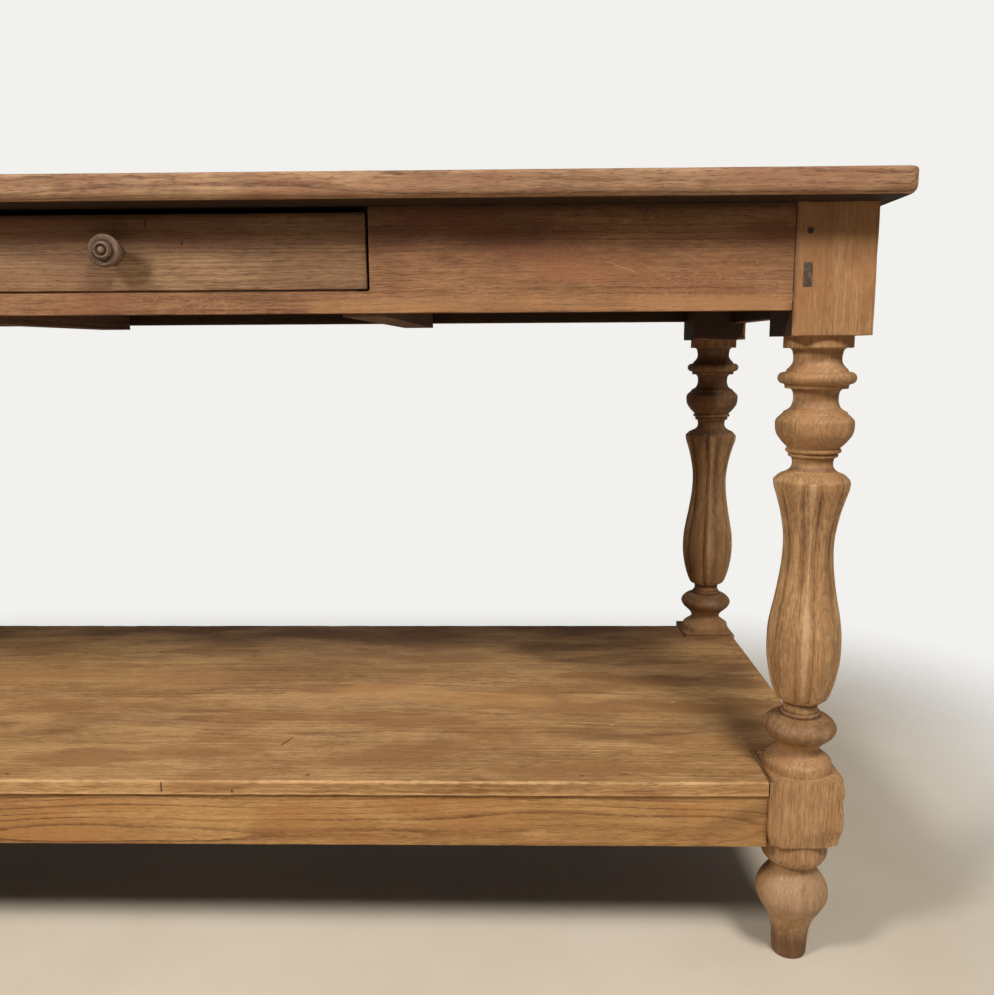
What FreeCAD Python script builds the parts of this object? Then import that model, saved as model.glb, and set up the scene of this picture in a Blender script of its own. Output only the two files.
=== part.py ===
"""Drapers table: an oak table on four turned legs, with one drawer and a low shelf."""
import FreeCAD, Part
import Sketcher
import os
from math import cos, pi, sin

Vector = FreeCAD.Vector
doc = FreeCAD.newDocument("drapers_table")
sheet = doc.addObject("Spreadsheet::Sheet", "sizes")

# Driving sizes in millimetres, angles in degrees
driving_sizes = {
    # Whole table
    "table_length": "1545",
    "table_depth": "673",
    "table_height": "850",
    # Top
    "top_thickness": "25",
    "top_end_overhang": "21",
    "top_front_overhang": "43.5",
    "top_corner_radius": "13",
    "top_upper_rounding": "3",
    "top_lower_rounding": "9",
    # Legs
    "leg_section": "80",
    "turning_radius": "40",
    "upper_block_height": "128",
    "lower_block_height": "80",
    "foot_height": "146",
    "flute_depth": "2.2",
    "flute_half_width": "3",
    "flute_fillet_angle": "28",
    "first_flute_angle": "57.3",
    # Aprons
    "apron_thickness": "22",
    "apron_recess": "1.5",
    "front_apron_depth": "103",
    "back_apron_depth": "99",
    "side_apron_depth": "103",
    "upper_tenon_shoulder": "15",
    "upper_tenon_height": "72",
    # Tenons and pegs of both frames
    "tenon_thickness": "10",
    "tenon_length": "28",
    "joint_clearance": "0.3",
    "peg_radius": "3.2",
    "peg_length": "28",
    "peg_inset": "14",
    "peg_drop": "27",
    "fastener_clearance": "0.1",
    # Shelf and the rails under it
    "shelf_top_height": "223",
    "shelf_thickness": "16",
    "shelf_front_inset": "3",
    "shelf_back_inset": "19",
    "shelf_end_inset": "2",
    "shelf_edge_rounding": "4",
    "shelf_notch_clearance": "1",
    "shelf_overhang": "4",
    "lower_rail_depth": "61",
    "lower_rail_thickness": "22",
    "lower_tenon_height": "42",
    "bearer_depth": "45",
    "bearer_width": "30",
    "stub_length": "8",
    "stub_shoulder": "6",
    "nail_radius": "1.4",
    "nail_head_radius": "2.6",
    "nail_head_thickness": "1.2",
    "nail_length": "42",
    # Drawer opening and its running gear
    "opening_width": "508",
    "opening_height": "82",
    "runner_width": "45",
    "runner_depth": "24",
    "guide_width": "13",
    "guide_height": "30",
    "stop_length": "20",
    "stop_width": "20",
    "stop_height": "15",
    # Drawer
    "drawer_side_gap": "3",
    "drawer_top_gap": "6",
    "drawer_bottom_gap": "2",
    "running_clearance": "0.3",
    "drawer_rear_space": "121",
    "drawer_front_thickness": "20",
    "drawer_front_lap": "6",
    "drawer_side_thickness": "12",
    "drawer_side_drop": "5",
    "drawer_back_thickness": "12",
    "drawer_back_drop": "6",
    "drawer_bottom_thickness": "7",
    "drawer_bottom_rise": "9",
    "drawer_groove_depth": "5",
    "dovetail_tip_width": "16",
    "dovetail_root_width": "11",
    # Knob
    "knob_radius": "16",
    "knob_projection": "30",
    "knob_tenon_radius": "6",
    # Buttons that hold the top
    "button_length": "42",
    "button_width": "30",
    "button_thickness": "20",
    "button_tongue": "8",
    "button_groove_drop": "12",
    "screw_radius": "2.2",
    "screw_head_radius": "4.4",
    "screw_head_height": "2.6",
    "screw_length": "34",
    # Old repair in a leg
    "patch_width": "9",
    "patch_height": "24",
    "patch_thickness": "2",
    "patch_drop": "57",
    "patch_inset": "9",
    # Overrun of every cut
    "overrun": "5",
}


class Size:
    """A length or angle together with the rule that binds objects to the sheet."""

    def __init__(self, value, rule):
        self.value = value
        self.rule = rule

    def __float__(self):
        return self.value

    def __add__(self, other):
        other = as_size(other)
        return Size(self.value + other.value, f"({self.rule} + {other.rule})")

    def __sub__(self, other):
        other = as_size(other)
        return Size(self.value - other.value, f"({self.rule} - {other.rule})")

    def __mul__(self, other):
        other = as_size(other)
        return Size(self.value * other.value, f"({self.rule} * {other.rule})")

    def __truediv__(self, other):
        other = as_size(other)
        return Size(self.value / other.value, f"({self.rule} / {other.rule})")

    def __neg__(self):
        return self * -1

    def __radd__(self, other):
        return as_size(other) + self

    def __rsub__(self, other):
        return as_size(other) - self

    def __rmul__(self, other):
        return as_size(other) * self


def as_size(number):
    """Wraps a bare number, so that sizes and counts mix in one sum."""
    if isinstance(number, Size):
        return number
    return Size(float(number), str(float(number)))


class DrivingSizes:
    """Holds each driving size under its own name."""


t = DrivingSizes()
for row, (size_name, size_text) in enumerate(driving_sizes.items(), start=1):
    sheet.set(f"A{row}", size_name)
    sheet.set(f"B{row}", size_text)
    sheet.setAlias(f"B{row}", size_name)
    setattr(t, size_name, Size(float(size_text), "sizes." + size_name))
doc.recompute()

# Places that follow from the driving sizes, measured from the floor below the middle of the table
leg_x = t.table_length / 2 - t.top_end_overhang - t.leg_section / 2
leg_y = t.table_depth / 2 - t.top_front_overhang - t.leg_section / 2
half_leg = t.leg_section / 2
top_underside = t.table_height - t.top_thickness
upper_block_bottom = top_underside - t.upper_block_height
lower_block_bottom = t.foot_height
lower_block_top = t.foot_height + t.lower_block_height
turned_length = upper_block_bottom - lower_block_top
outer_x = leg_x + half_leg
outer_y = leg_y + half_leg
inner_x = leg_x - half_leg
inner_y = leg_y - half_leg

apron_face_x = outer_x - t.apron_recess
apron_face_y = outer_y - t.apron_recess
apron_inside_y = apron_face_y - t.apron_thickness
apron_inside_x = apron_face_x - t.apron_thickness
upper_tenon_top = top_underside - t.upper_tenon_shoulder
upper_tenon_bottom = upper_tenon_top - t.upper_tenon_height

shelf_bottom = t.shelf_top_height - t.shelf_thickness
shelf_front_y = -(outer_y - t.shelf_front_inset)
shelf_back_y = outer_y - t.shelf_back_inset
shelf_end_x = outer_x - t.shelf_end_inset
rail_bottom = shelf_bottom - t.lower_rail_depth
rail_middle = shelf_bottom - t.lower_rail_depth / 2
rail_front_y = -shelf_front_y - t.shelf_overhang
rail_back_y = shelf_back_y - t.shelf_overhang
rail_end_x = shelf_end_x - t.shelf_overhang

half_opening = t.opening_width / 2
opening_bottom = top_underside - t.opening_height
runner_inner_x = half_opening + t.guide_width - t.runner_width

drawer_half_width = half_opening - t.drawer_side_gap
drawer_face_y = -apron_face_y
drawer_front_inside_y = drawer_face_y + t.drawer_front_thickness
drawer_rear_y = apron_inside_y - t.drawer_rear_space
drawer_front_bottom = opening_bottom + t.drawer_bottom_gap
drawer_front_top = top_underside - t.drawer_top_gap
drawer_side_bottom = opening_bottom + t.running_clearance
drawer_side_top = drawer_front_top - t.drawer_side_drop
drawer_side_inside_x = drawer_half_width - t.drawer_side_thickness
drawer_panel_bottom = drawer_side_bottom + t.drawer_bottom_rise
drawer_panel_top = drawer_panel_bottom + t.drawer_bottom_thickness
drawer_back_top = drawer_side_top - t.drawer_back_drop
knob_height = (drawer_front_bottom + drawer_front_top) / 2

nodes = []


def bind(item, **sizes):
    """Ties properties of an object to the sheet."""
    for name, size in sizes.items():
        item.setExpression(name, as_size(size).rule)
    return item


def place(item, x=0, y=0, z=0, turn=FreeCAD.Rotation()):
    """Turns an object and ties its place to the sheet."""
    item.Placement = FreeCAD.Placement(Vector(0, 0, 0), turn)
    for axis, size in zip("xyz", (x, y, z)):
        item.setExpression(".Placement.Base." + axis, as_size(size).rule)
    return item


def block(name, x, y, z):
    """A square-edged block between two bounds on each axis."""
    item = doc.addObject("Part::Box", name)
    bind(item, Length=x[1] - x[0], Width=y[1] - y[0], Height=z[1] - z[0])
    return place(item, x[0], y[0], z[0])


def oriented(axis, run, width, height, name):
    """A block whose run lies along the given axis."""
    if axis == "x":
        return block(name, run, width, height)
    return block(name, width, run, height)


def rod(name, radius, length, x, y, z, turn=FreeCAD.Rotation()):
    """A round rod that starts at a point and runs along its turned Z axis."""
    item = doc.addObject("Part::Cylinder", name)
    bind(item, Radius=radius, Height=length)
    return place(item, x, y, z, turn)


def joined(name, items):
    """One solid out of blocks that meet."""
    item = doc.addObject("Part::MultiFuse", name)
    item.Shapes = items
    item.Refine = True
    return item


def gathered(name, items):
    """Separate solids kept together in one object."""
    item = doc.addObject("Part::Compound", name)
    item.Links = items
    return item


def cut(name, base, tools):
    """A piece with its mortises, grooves and holes taken out."""
    item = doc.addObject("Part::Cut", name)
    item.Base = base
    item.Tool = gathered(name + "_cuts", tools)
    item.Refine = True
    return item


def trimmed(name, slab, strip):
    """The part of a slab that lies in one board's strip."""
    item = doc.addObject("Part::Common", name)
    item.Base = slab
    item.Tool = strip
    return item


def node(item, label):
    """Counts an object as a piece of the table, under its workshop name."""
    item.Label = label
    nodes.append(item)


def span(first, second):
    """Puts two bounds in order, low one first."""
    return (first, second) if float(first) < float(second) else (second, first)


def grown(bounds, clearance):
    """Bounds with the same clearance at both ends."""
    return (bounds[0] - clearance, bounds[1] + clearance)


def past(bounds, sign, overrun):
    """Bounds carried on beyond the face on one side, so that a cut comes out clean."""
    if sign < 0:
        return (bounds[0] - overrun, bounds[1])
    return (bounds[0], bounds[1] + overrun)


# Turnings

# Outline of the turning from the upper block down to the lower one: each point is a share of the
# turned length, measured down, and a share of the turning radius
turning_shares = [
    # Cap under the upper block, and the cove below it
    ("line", [(0, 0.877), (0.0245, 0.877), (0.0262, 0.860), (0.0262, 0.700)]),
    ("curve", [(0.031, 0.645), (0.040, 0.618), (0.048, 0.608), (0.057, 0.622), (0.065, 0.680),
               (0.072, 0.763)]),
    ("line", [(0.0768, 0.785), (0.0773, 0.845)]),
    # Upper ring between its fillets
    ("arc", [(0.0905, 0.990), (0.1045, 0.835)]),
    ("line", [(0.1055, 0.810), (0.1138, 0.795), (0.1143, 0.655)]),
    ("curve", [(0.1215, 0.592), (0.132, 0.572), (0.142, 0.576), (0.154, 0.625), (0.160, 0.700),
               (0.1645, 0.800)]),
    ("line", [(0.169, 0.822)]),
    # Bulb and two beads
    ("curve", [(0.173, 0.880), (0.183, 0.985), (0.195, 1.000), (0.208, 0.983), (0.217, 0.943),
               (0.225, 0.880), (0.2335, 0.803), (0.244, 0.680)]),
    ("line", [(0.2455, 0.665)]),
    ("arc", [(0.2505, 0.712), (0.256, 0.655)]),
    ("line", [(0.257, 0.610)]),
    ("arc", [(0.2615, 0.640), (0.266, 0.595)]),
    ("line", [(0.2672, 0.550)]),
    # Neck and the collar of the fluted vase
    ("curve", [(0.274, 0.528), (0.2815, 0.522), (0.291, 0.560), (0.2985, 0.665), (0.304, 0.815)]),
    ("line", [(0.308, 0.880)]),
    ("arc", [(0.3155, 0.965), (0.323, 0.995)]),
    # Fluted vase, from its collar past the waist to the belly
    ("curve", [(0.336, 0.975), (0.361, 0.883), (0.395, 0.778), (0.437, 0.693), (0.471, 0.670),
               (0.505, 0.688), (0.539, 0.730), (0.582, 0.810), (0.624, 0.905), (0.658, 0.967),
               (0.692, 0.990), (0.718, 0.988), (0.743, 0.962), (0.777, 0.892), (0.8025, 0.812),
               (0.8195, 0.740), (0.830, 0.665), (0.8335, 0.600)]),
    # Neck, and the lower ring with its lip
    ("line", [(0.835, 0.520), (0.836, 0.465), (0.860, 0.465), (0.8605, 0.520), (0.868, 0.530),
              (0.8685, 0.500)]),
    ("curve", [(0.870, 0.600), (0.8725, 0.700), (0.879, 0.830), (0.886, 0.915), (0.893, 0.965),
               (0.900, 0.985), (0.908, 0.952), (0.9165, 0.890), (0.924, 0.795), (0.929, 0.735)]),
    ("line", [(0.932, 0.690)]),
    # Last cove and the ring that stands on the lower block
    ("curve", [(0.940, 0.612), (0.950, 0.560), (0.959, 0.600), (0.966, 0.700), (0.973, 0.820)]),
    ("line", [(0.9775, 0.880), (0.985, 0.905), (1.0, 0.915)]),
]

# Outline of the foot, in shares of its height, measured down, and of the turning radius
foot_shares = [
    ("line", [(0, 0.915), (0.060, 0.915)]),
    ("curve", [(0.100, 0.915), (0.133, 0.905), (0.160, 0.872), (0.185, 0.815), (0.203, 0.735)]),
    ("line", [(0.208, 0.630), (0.262, 0.620)]),
    ("curve", [(0.285, 0.665), (0.342, 0.815), (0.394, 0.930), (0.430, 0.975), (0.470, 0.995),
               (0.510, 0.980), (0.567, 0.888), (0.622, 0.772), (0.677, 0.660), (0.735, 0.575),
               (0.800, 0.520), (0.860, 0.498), (0.935, 0.492)]),
    ("line", [(0.983, 0.485), (1.0, 0.455)]),
]

# Bottom line of a flute, in the same shares as the turning, carried past both ends of the vase
flute_line_shares = [
    (0.300, 0.995), (0.323, 0.995), (0.336, 0.975), (0.361, 0.883), (0.395, 0.778),
    (0.437, 0.693), (0.471, 0.670), (0.505, 0.688), (0.539, 0.730), (0.582, 0.810),
    (0.624, 0.905), (0.658, 0.967), (0.692, 0.990), (0.718, 0.988), (0.743, 0.962),
    (0.777, 0.892), (0.8025, 0.812), (0.8195, 0.740), (0.830, 0.665), (0.838, 0.590),
]
flute_pairs = 5


def turned_face(shares, top, length, radius):
    """The half section of a turning, closed along its axis."""
    def point(share):
        return Vector(radius * share[1], 0, top - length * share[0])

    start = point(shares[0][1][0])
    axis_top = Vector(0, 0, top)
    edges = [Part.makeLine(axis_top, start)]
    for kind, stretch in shares:
        points = [point(share) for share in stretch]
        if kind == "line":
            for end in points:
                if (end - start).Length > 0:
                    edges.append(Part.makeLine(start, end))
                    start = end
        elif kind == "arc":
            edges.append(Part.Arc(start, points[0], points[1]).toShape())
            start = points[1]
        else:
            spline = Part.BSplineCurve()
            spline.interpolate([start] + points)
            edges.append(spline.toShape())
            start = points[-1]
    axis_bottom = Vector(0, 0, top - length)
    edges.append(Part.makeLine(start, axis_bottom))
    edges.append(Part.makeLine(axis_bottom, axis_top))
    return Part.Face(Part.Wire(edges))


def turned(name, shares, top, length, radius):
    """A solid turned from a half section."""
    section = doc.addObject("Part::Feature", name + "_section")
    section.Shape = turned_face(shares, float(top), float(length), float(radius))
    item = doc.addObject("Part::Revolution", name)
    item.Source = section
    item.Axis = Vector(0, 0, 1)
    item.Angle = 360
    item.Solid = True
    return item


def flute_cutter(name, angle):
    """A tool with a V section that runs down the vase, at an angle from the front."""
    depth = float(t.flute_depth)
    half_width = float(t.flute_half_width)
    reach_share = 2.5
    outward = Vector(sin(angle), -cos(angle), 0)
    sideways = Vector(cos(angle), sin(angle), 0)
    sections = []
    for down_share, radius_share in flute_line_shares:
        bottom_radius = float(t.turning_radius) * radius_share - depth
        height = float(upper_block_bottom) - float(turned_length) * down_share
        bottom = outward * bottom_radius + Vector(0, 0, height)
        middle = bottom + outward * (depth * reach_share)
        side = sideways * (half_width * reach_share)
        sections.append(Part.makePolygon([bottom, middle + side, middle - side, bottom]))
    item = doc.addObject("Part::Feature", name)
    item.Shape = Part.makeLoft(sections, True, False)
    return item


def leg_blank():
    """The leg as it comes off the lathe and the carver's bench, before its mortises."""
    upper = block("upper_block", (-half_leg, half_leg), (-half_leg, half_leg),
                  (upper_block_bottom, top_underside))
    lower = block("lower_block", (-half_leg, half_leg), (-half_leg, half_leg),
                  (lower_block_bottom, lower_block_top))
    spindle = turned("spindle", turning_shares, upper_block_bottom, turned_length, t.turning_radius)
    foot = turned("foot", foot_shares, lower_block_bottom, t.foot_height, t.turning_radius)
    cutters = []
    for pair in range(flute_pairs):
        middle = float(t.first_flute_angle) * pi / 180 + 2 * pi * pair / flute_pairs
        for side in (-1, 1):
            edge = middle + side * float(t.flute_fillet_angle) / 2 * pi / 180
            cutters.append(flute_cutter(f"flute_{pair}_{'left' if side < 0 else 'right'}", edge))
    vase = cut("fluted_spindle", spindle, cutters)
    return joined("leg_blank", [upper, vase, lower, foot])


# Frame pieces between the legs

frame_mortises = {"front_left": [], "front_right": [], "back_left": [], "back_right": []}


def tenoned_board(name, along, side, face, thickness, low, high, tenon_low, tenon_high):
    """A board between two legs, with a tenon at each end and a mortise for each in its leg.

    along is the axis that the board runs on, side is the side of the table it stands on, and
    face is how far its outer face lies from the middle.
    """
    reach = inner_x if along == "x" else inner_y
    across = span(side * face, side * (face - thickness))
    middle = (across[0] + across[1]) / 2
    tenon_across = (middle - t.tenon_thickness / 2, middle + t.tenon_thickness / 2)
    tenon_height = (tenon_low, tenon_high)

    board = oriented(along, (-reach, reach), across, (low, high), name + "_board")
    tenons = []
    for end in (-1, 1):
        run = span(end * reach, end * (reach + t.tenon_length))
        end_word = "low" if end < 0 else "high"
        tenons.append(oriented(along, run, tenon_across, tenon_height, f"{name}_tenon_{end_word}"))
        hole_run = past(run, end, t.joint_clearance)
        hole_run = past(hole_run, -end, t.overrun)
        hole = oriented(along, hole_run, grown(tenon_across, t.joint_clearance),
                        grown(tenon_height, t.joint_clearance), f"{name}_mortise_{end_word}")
        if along == "x":
            leg = ("front_" if side < 0 else "back_") + ("left" if end < 0 else "right")
        else:
            leg = ("front_" if end < 0 else "back_") + ("left" if side < 0 else "right")
        frame_mortises[leg].append(hole)
    return joined(name + "_blank", [board] + tenons)


def peg(name, x, y, axis, side, hole=False):
    """A draw peg driven in from the outer face of a leg, or the hole that takes it."""
    radius = t.peg_radius if hole else t.peg_radius - t.fastener_clearance
    height = top_underside - t.peg_drop
    length = t.peg_length + t.overrun if hole else t.peg_length
    back_step = t.overrun if hole else 0
    if axis == "x":
        turn = FreeCAD.Rotation(Vector(0, 1, 0), -90 * side)
        return rod(name, radius, length, side * (outer_x + back_step), y, height, turn)
    turn = FreeCAD.Rotation(Vector(1, 0, 0), 90 * side)
    return rod(name, radius, length, x, side * (outer_y + back_step), height, turn)


def peg_places():
    """Two pegs a leg: one through the long apron's tenon, one through the end apron's."""
    from_axis = half_leg - t.peg_inset
    for depth_side in (-1, 1):
        for end_side in (-1, 1):
            leg = ("front_" if depth_side < 0 else "back_") + ("left" if end_side < 0 else "right")
            yield leg, "y", depth_side, end_side * (leg_x - from_axis), depth_side * leg_y
            yield leg, "x", end_side, end_side * leg_x, depth_side * (leg_y - from_axis)


def button_places():
    """Where buttons hold the top: the axis they point along, their side, and their middle."""
    long_share = 0.65
    end_share = 0.45
    for side in (-1, 1):
        for end in (-1, 1):
            yield "y", side, end * leg_x * long_share
            yield "x", side, end * leg_y * end_share


def button_pieces():
    """Buttons, their screws, the grooves they catch in and the screw holes in the top."""
    buttons = []
    screws = []
    grooves = {"x": [], "y": []}
    holes = []
    tongue_top = top_underside - t.button_groove_drop
    tongue_bottom = tongue_top - t.button_tongue
    for count, (axis, side, middle) in enumerate(button_places(), start=1):
        inside = apron_inside_x if axis == "x" else apron_inside_y
        width = (middle - t.button_width / 2, middle + t.button_width / 2)
        body_run = span(side * inside, side * (inside - t.button_length))
        tongue_run = span(side * inside, side * (inside + t.button_tongue))
        body = oriented(axis, body_run, width, (top_underside - t.button_thickness, top_underside),
                        f"button_body_{count}")
        tongue = oriented(axis, tongue_run, width,
                          (tongue_bottom + t.joint_clearance, tongue_top - t.joint_clearance),
                          f"button_tongue_{count}")
        groove_run = past(past(tongue_run, side, t.joint_clearance), -side, t.overrun)
        grooves[axis].append(oriented(axis, groove_run, grown(width, t.joint_clearance),
                                      (tongue_bottom, tongue_top), f"button_groove_{count}"))
        out = side * (inside - t.button_length / 2)
        x, y = (out, middle) if axis == "x" else (middle, out)
        seat = top_underside - t.button_thickness
        screw = screw_solid(f"screw_{count}", x, y, seat, 0)
        hole = screw_solid(f"screw_hole_{count}", x, y, seat, t.fastener_clearance)
        buttons.append(cut(f"button_{count}", joined(f"button_blank_{count}", [body, tongue]), [hole]))
        screws.append(screw)
        holes.append(hole)
    return buttons, screws, grooves, holes


def screw_solid(name, x, y, z, clearance):
    """A wood screw that points up, with its head sunk in the seat, or the hole that takes it."""
    head = rod(name + "_head", t.screw_head_radius + clearance, t.screw_head_height + clearance, x, y, z)
    shank = rod(name + "_shank", t.screw_radius + clearance, t.screw_length + clearance, x, y, z)
    return joined(name, [head, shank])


# Solids that are cut into boards

def rectangle(sketch, x, y):
    """Draws a rectangle between bounds and ties its corners to the sheet."""
    corners = [(x[0], y[0]), (x[1], y[0]), (x[1], y[1]), (x[0], y[1])]
    points = [Vector(float(px), float(py), 0) for px, py in corners]
    for count in range(4):
        sketch.addGeometry(Part.LineSegment(points[count], points[(count + 1) % 4]), False)
    for count in range(4):
        sketch.addConstraint(Sketcher.Constraint("Coincident", count, 2, (count + 1) % 4, 1))
    for count in (0, 2):
        sketch.addConstraint(Sketcher.Constraint("Horizontal", count))
        sketch.addConstraint(Sketcher.Constraint("Vertical", count + 1))
    for corner in (0, 2):
        for axis, size in zip("XY", corners[corner]):
            rule = Sketcher.Constraint("Distance" + axis, -1, 1, corner, 1, float(size))
            index = sketch.addConstraint(rule)
            sketch.setExpression(f"Constraints[{index}]", as_size(size).rule)


def flat_sketch(body, name, role, offset=None):
    """A sketch on one of the body's own planes, raised by an offset."""
    plane = [item for item in body.Origin.OriginFeatures if item.Role == role][0]
    sketch = body.newObject("Sketcher::SketchObject", name)
    sketch.AttachmentSupport = [(plane, "")]
    sketch.MapMode = "FlatFace"
    if offset is not None:
        sketch.setExpression(".AttachmentOffset.Base.z", as_size(offset).rule)
    return sketch


def slab(name, x, y, thickness, z):
    """A flat slab as a body, with its lower face at a height."""
    body = doc.addObject("PartDesign::Body", name)
    sketch = flat_sketch(body, name + "_outline", "XY_Plane")
    rectangle(sketch, x, y)
    pad = body.newObject("PartDesign::Pad", name + "_pad")
    pad.Profile = sketch
    pad.setExpression("Length", thickness.rule)
    body.Tip = pad
    place(body, 0, 0, z)
    doc.recompute()
    return body


def round_edges(body, name, radius, chosen):
    """Rounds the edges of a body whose middle passes a test."""
    tip = body.Tip
    edges = [f"Edge{count}" for count, edge in enumerate(tip.Shape.Edges, start=1)
             if chosen(edge, edge.CenterOfMass)]
    fillet = body.newObject("PartDesign::Fillet", name)
    fillet.Base = (tip, edges)
    fillet.setExpression("Radius", radius.rule)
    body.Tip = fillet
    doc.recompute()
    return fillet


def is_upright(edge):
    """True for a straight edge that runs up and down."""
    first, last = edge.Vertexes[0].Point, edge.Vertexes[-1].Point
    return (first - last).Length > 0 and abs(first.z - last.z) == (first - last).Length


def tabletop():
    """The top as one slab with rounded corners and edges, before it is parted into boards."""
    body = slab("top_slab", (-t.table_length / 2, t.table_length / 2),
                (-t.table_depth / 2, t.table_depth / 2), t.top_thickness, top_underside)
    thickness = float(t.top_thickness)
    tiny = thickness / 1000
    round_edges(body, "top_corners", t.top_corner_radius, lambda edge, middle: is_upright(edge))
    round_edges(body, "top_upper_edge", t.top_upper_rounding,
                lambda edge, middle: middle.z > thickness - tiny)
    round_edges(body, "top_lower_edge", t.top_lower_rounding, lambda edge, middle: middle.z < tiny)
    return body


def shelf_slab():
    """The shelf as one slab with its front edge rounded, before it is parted into boards."""
    body = slab("shelf_slab", (-shelf_end_x, shelf_end_x), (shelf_front_y, shelf_back_y),
                t.shelf_thickness, shelf_bottom)
    thickness = float(t.shelf_thickness)
    front = float(shelf_front_y)
    tiny = thickness / 1000
    round_edges(body, "shelf_front_edge", t.shelf_edge_rounding,
                lambda edge, middle: middle.z > thickness - tiny and middle.y < front + tiny)
    return body


def strips(name, places, x, y, z):
    """Equal strips across the depth, one for each board."""
    width = (y[1] - y[0]) / len(places)
    return [block(f"{name}_{place_name}_strip", x, (y[0] + width * count, y[0] + width * (count + 1)), z)
            for count, place_name in enumerate(places)]


def nail_places():
    """Where the shelf is nailed down: into the end rails and into the two long rails."""
    end_shares = [0.21, 0.29, 0.42, 0.58, 0.71, 0.76]
    long_shares = [-0.70, -0.25, 0.25, 0.70]
    end_x = rail_end_x - t.lower_rail_thickness / 2
    front_y = -(rail_front_y - t.lower_rail_thickness / 2)
    back_y = rail_back_y - t.lower_rail_thickness / 2
    for side in (-1, 1):
        for share in end_shares:
            yield side * end_x, shelf_front_y + (shelf_back_y - shelf_front_y) * share
    for share in long_shares:
        yield inner_x * share, front_y
        yield inner_x * share, back_y


def nail(name, x, y, clearance):
    """A cut nail with a flat head flush with the shelf, or the hole that takes it."""
    length = t.nail_length + clearance
    shank = rod(name + "_shank", t.nail_radius + clearance, length, x, y, t.shelf_top_height - length)
    head_height = t.nail_head_thickness + clearance
    head = rod(name + "_head", t.nail_head_radius + clearance, head_height, x, y,
               t.shelf_top_height - head_height)
    return joined(name, [shank, head])


# Drawer

def dovetails(name, side, end):
    """The tails at one end of a drawer side: wide at the tip, narrow at the root."""
    count = 3
    low = drawer_side_bottom if end == "front" else drawer_panel_top
    high = drawer_side_top if end == "front" else drawer_back_top
    pitch = (high - low) / count
    length = t.drawer_front_thickness - t.drawer_front_lap if end == "front" else t.drawer_back_thickness
    x_low, x_high = span(side * drawer_half_width, side * drawer_side_inside_x)
    tails = []
    for step in range(count):
        middle = low + pitch * (step + 0.5)
        tail = doc.addObject("Part::Wedge", f"{name}_tail_{end}_{step + 1}")
        tip, root = t.dovetail_tip_width / 2, t.dovetail_root_width / 2
        near, far = (tip, root) if end == "front" else (root, tip)
        bind(tail, Xmin=0, Xmax=x_high - x_low, X2min=0, X2max=x_high - x_low,
             Ymin=0, Ymax=length, Zmin=-near, Zmax=near, Z2min=-far, Z2max=far)
        start = drawer_front_inside_y - length if end == "front" else drawer_rear_y - length
        place(tail, x_low, start, middle)
        tails.append(tail)
    return tails


def drawer_side(name, side, groove):
    """A drawer side with tails at both ends and a groove for the bottom."""
    x = span(side * drawer_half_width, side * drawer_side_inside_x)
    board = block(name + "_board", x, (drawer_front_inside_y, drawer_rear_y - t.drawer_back_thickness),
                  (drawer_side_bottom, drawer_side_top))
    front_tails = dovetails(name, side, "front")
    back_tails = dovetails(name, side, "back")
    blank = joined(name + "_blank", [board] + front_tails + back_tails)
    return cut(name, blank, [groove]), front_tails, back_tails


def knob():
    """The drawer's turned knob: a neck, a broad disc and a small button on a ring."""
    # Each point is a share of the projection and a share of the knob's radius
    outline_shares = [
        (0, 0.66), (0.10, 0.66), (0.14, 0.56), (0.32, 0.50), (0.46, 0.66), (0.56, 0.92),
        (0.66, 1.0), (0.74, 0.97), (0.80, 0.80), (0.80, 0.64), (0.90, 0.60), (0.96, 0.54),
        (0.96, 0.34), (0.93, 0.30), (0.93, 0.22), (1.0, 0.14), (1.0, 0),
    ]
    body = doc.addObject("PartDesign::Body", "knob_body")
    sketch = flat_sketch(body, "knob_section", "XY_Plane")
    tenon_end = -t.drawer_front_thickness
    corners = [(as_size(0), tenon_end), (t.knob_tenon_radius, tenon_end), (t.knob_tenon_radius, as_size(0))]
    corners += [(t.knob_radius * radius_share, t.knob_projection * out_share)
                for out_share, radius_share in outline_shares]
    total = len(corners)
    points = [Vector(float(px), float(py), 0) for px, py in corners]
    lines = [Part.LineSegment(points[count], points[(count + 1) % total]) for count in range(total)]
    sketch.addGeometry(lines, False)
    for count in range(total):
        sketch.addConstraint(Sketcher.Constraint("Coincident", count, 2, (count + 1) % total, 1))
    for count, corner in enumerate(corners):
        for axis, size in zip("XY", corner):
            rule = Sketcher.Constraint("Distance" + axis, -1, 1, count, 1, float(size))
            index = sketch.addConstraint(rule)
            sketch.setExpression(f"Constraints[{index}]", size.rule)
    turning = body.newObject("PartDesign::Revolution", "knob_turning")
    turning.Profile = sketch
    turning.ReferenceAxis = (sketch, ["V_Axis"])
    turning.Angle = 360
    body.Tip = turning
    return place(body, 0, drawer_face_y, knob_height, FreeCAD.Rotation(Vector(1, 0, 0), 180))


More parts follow.
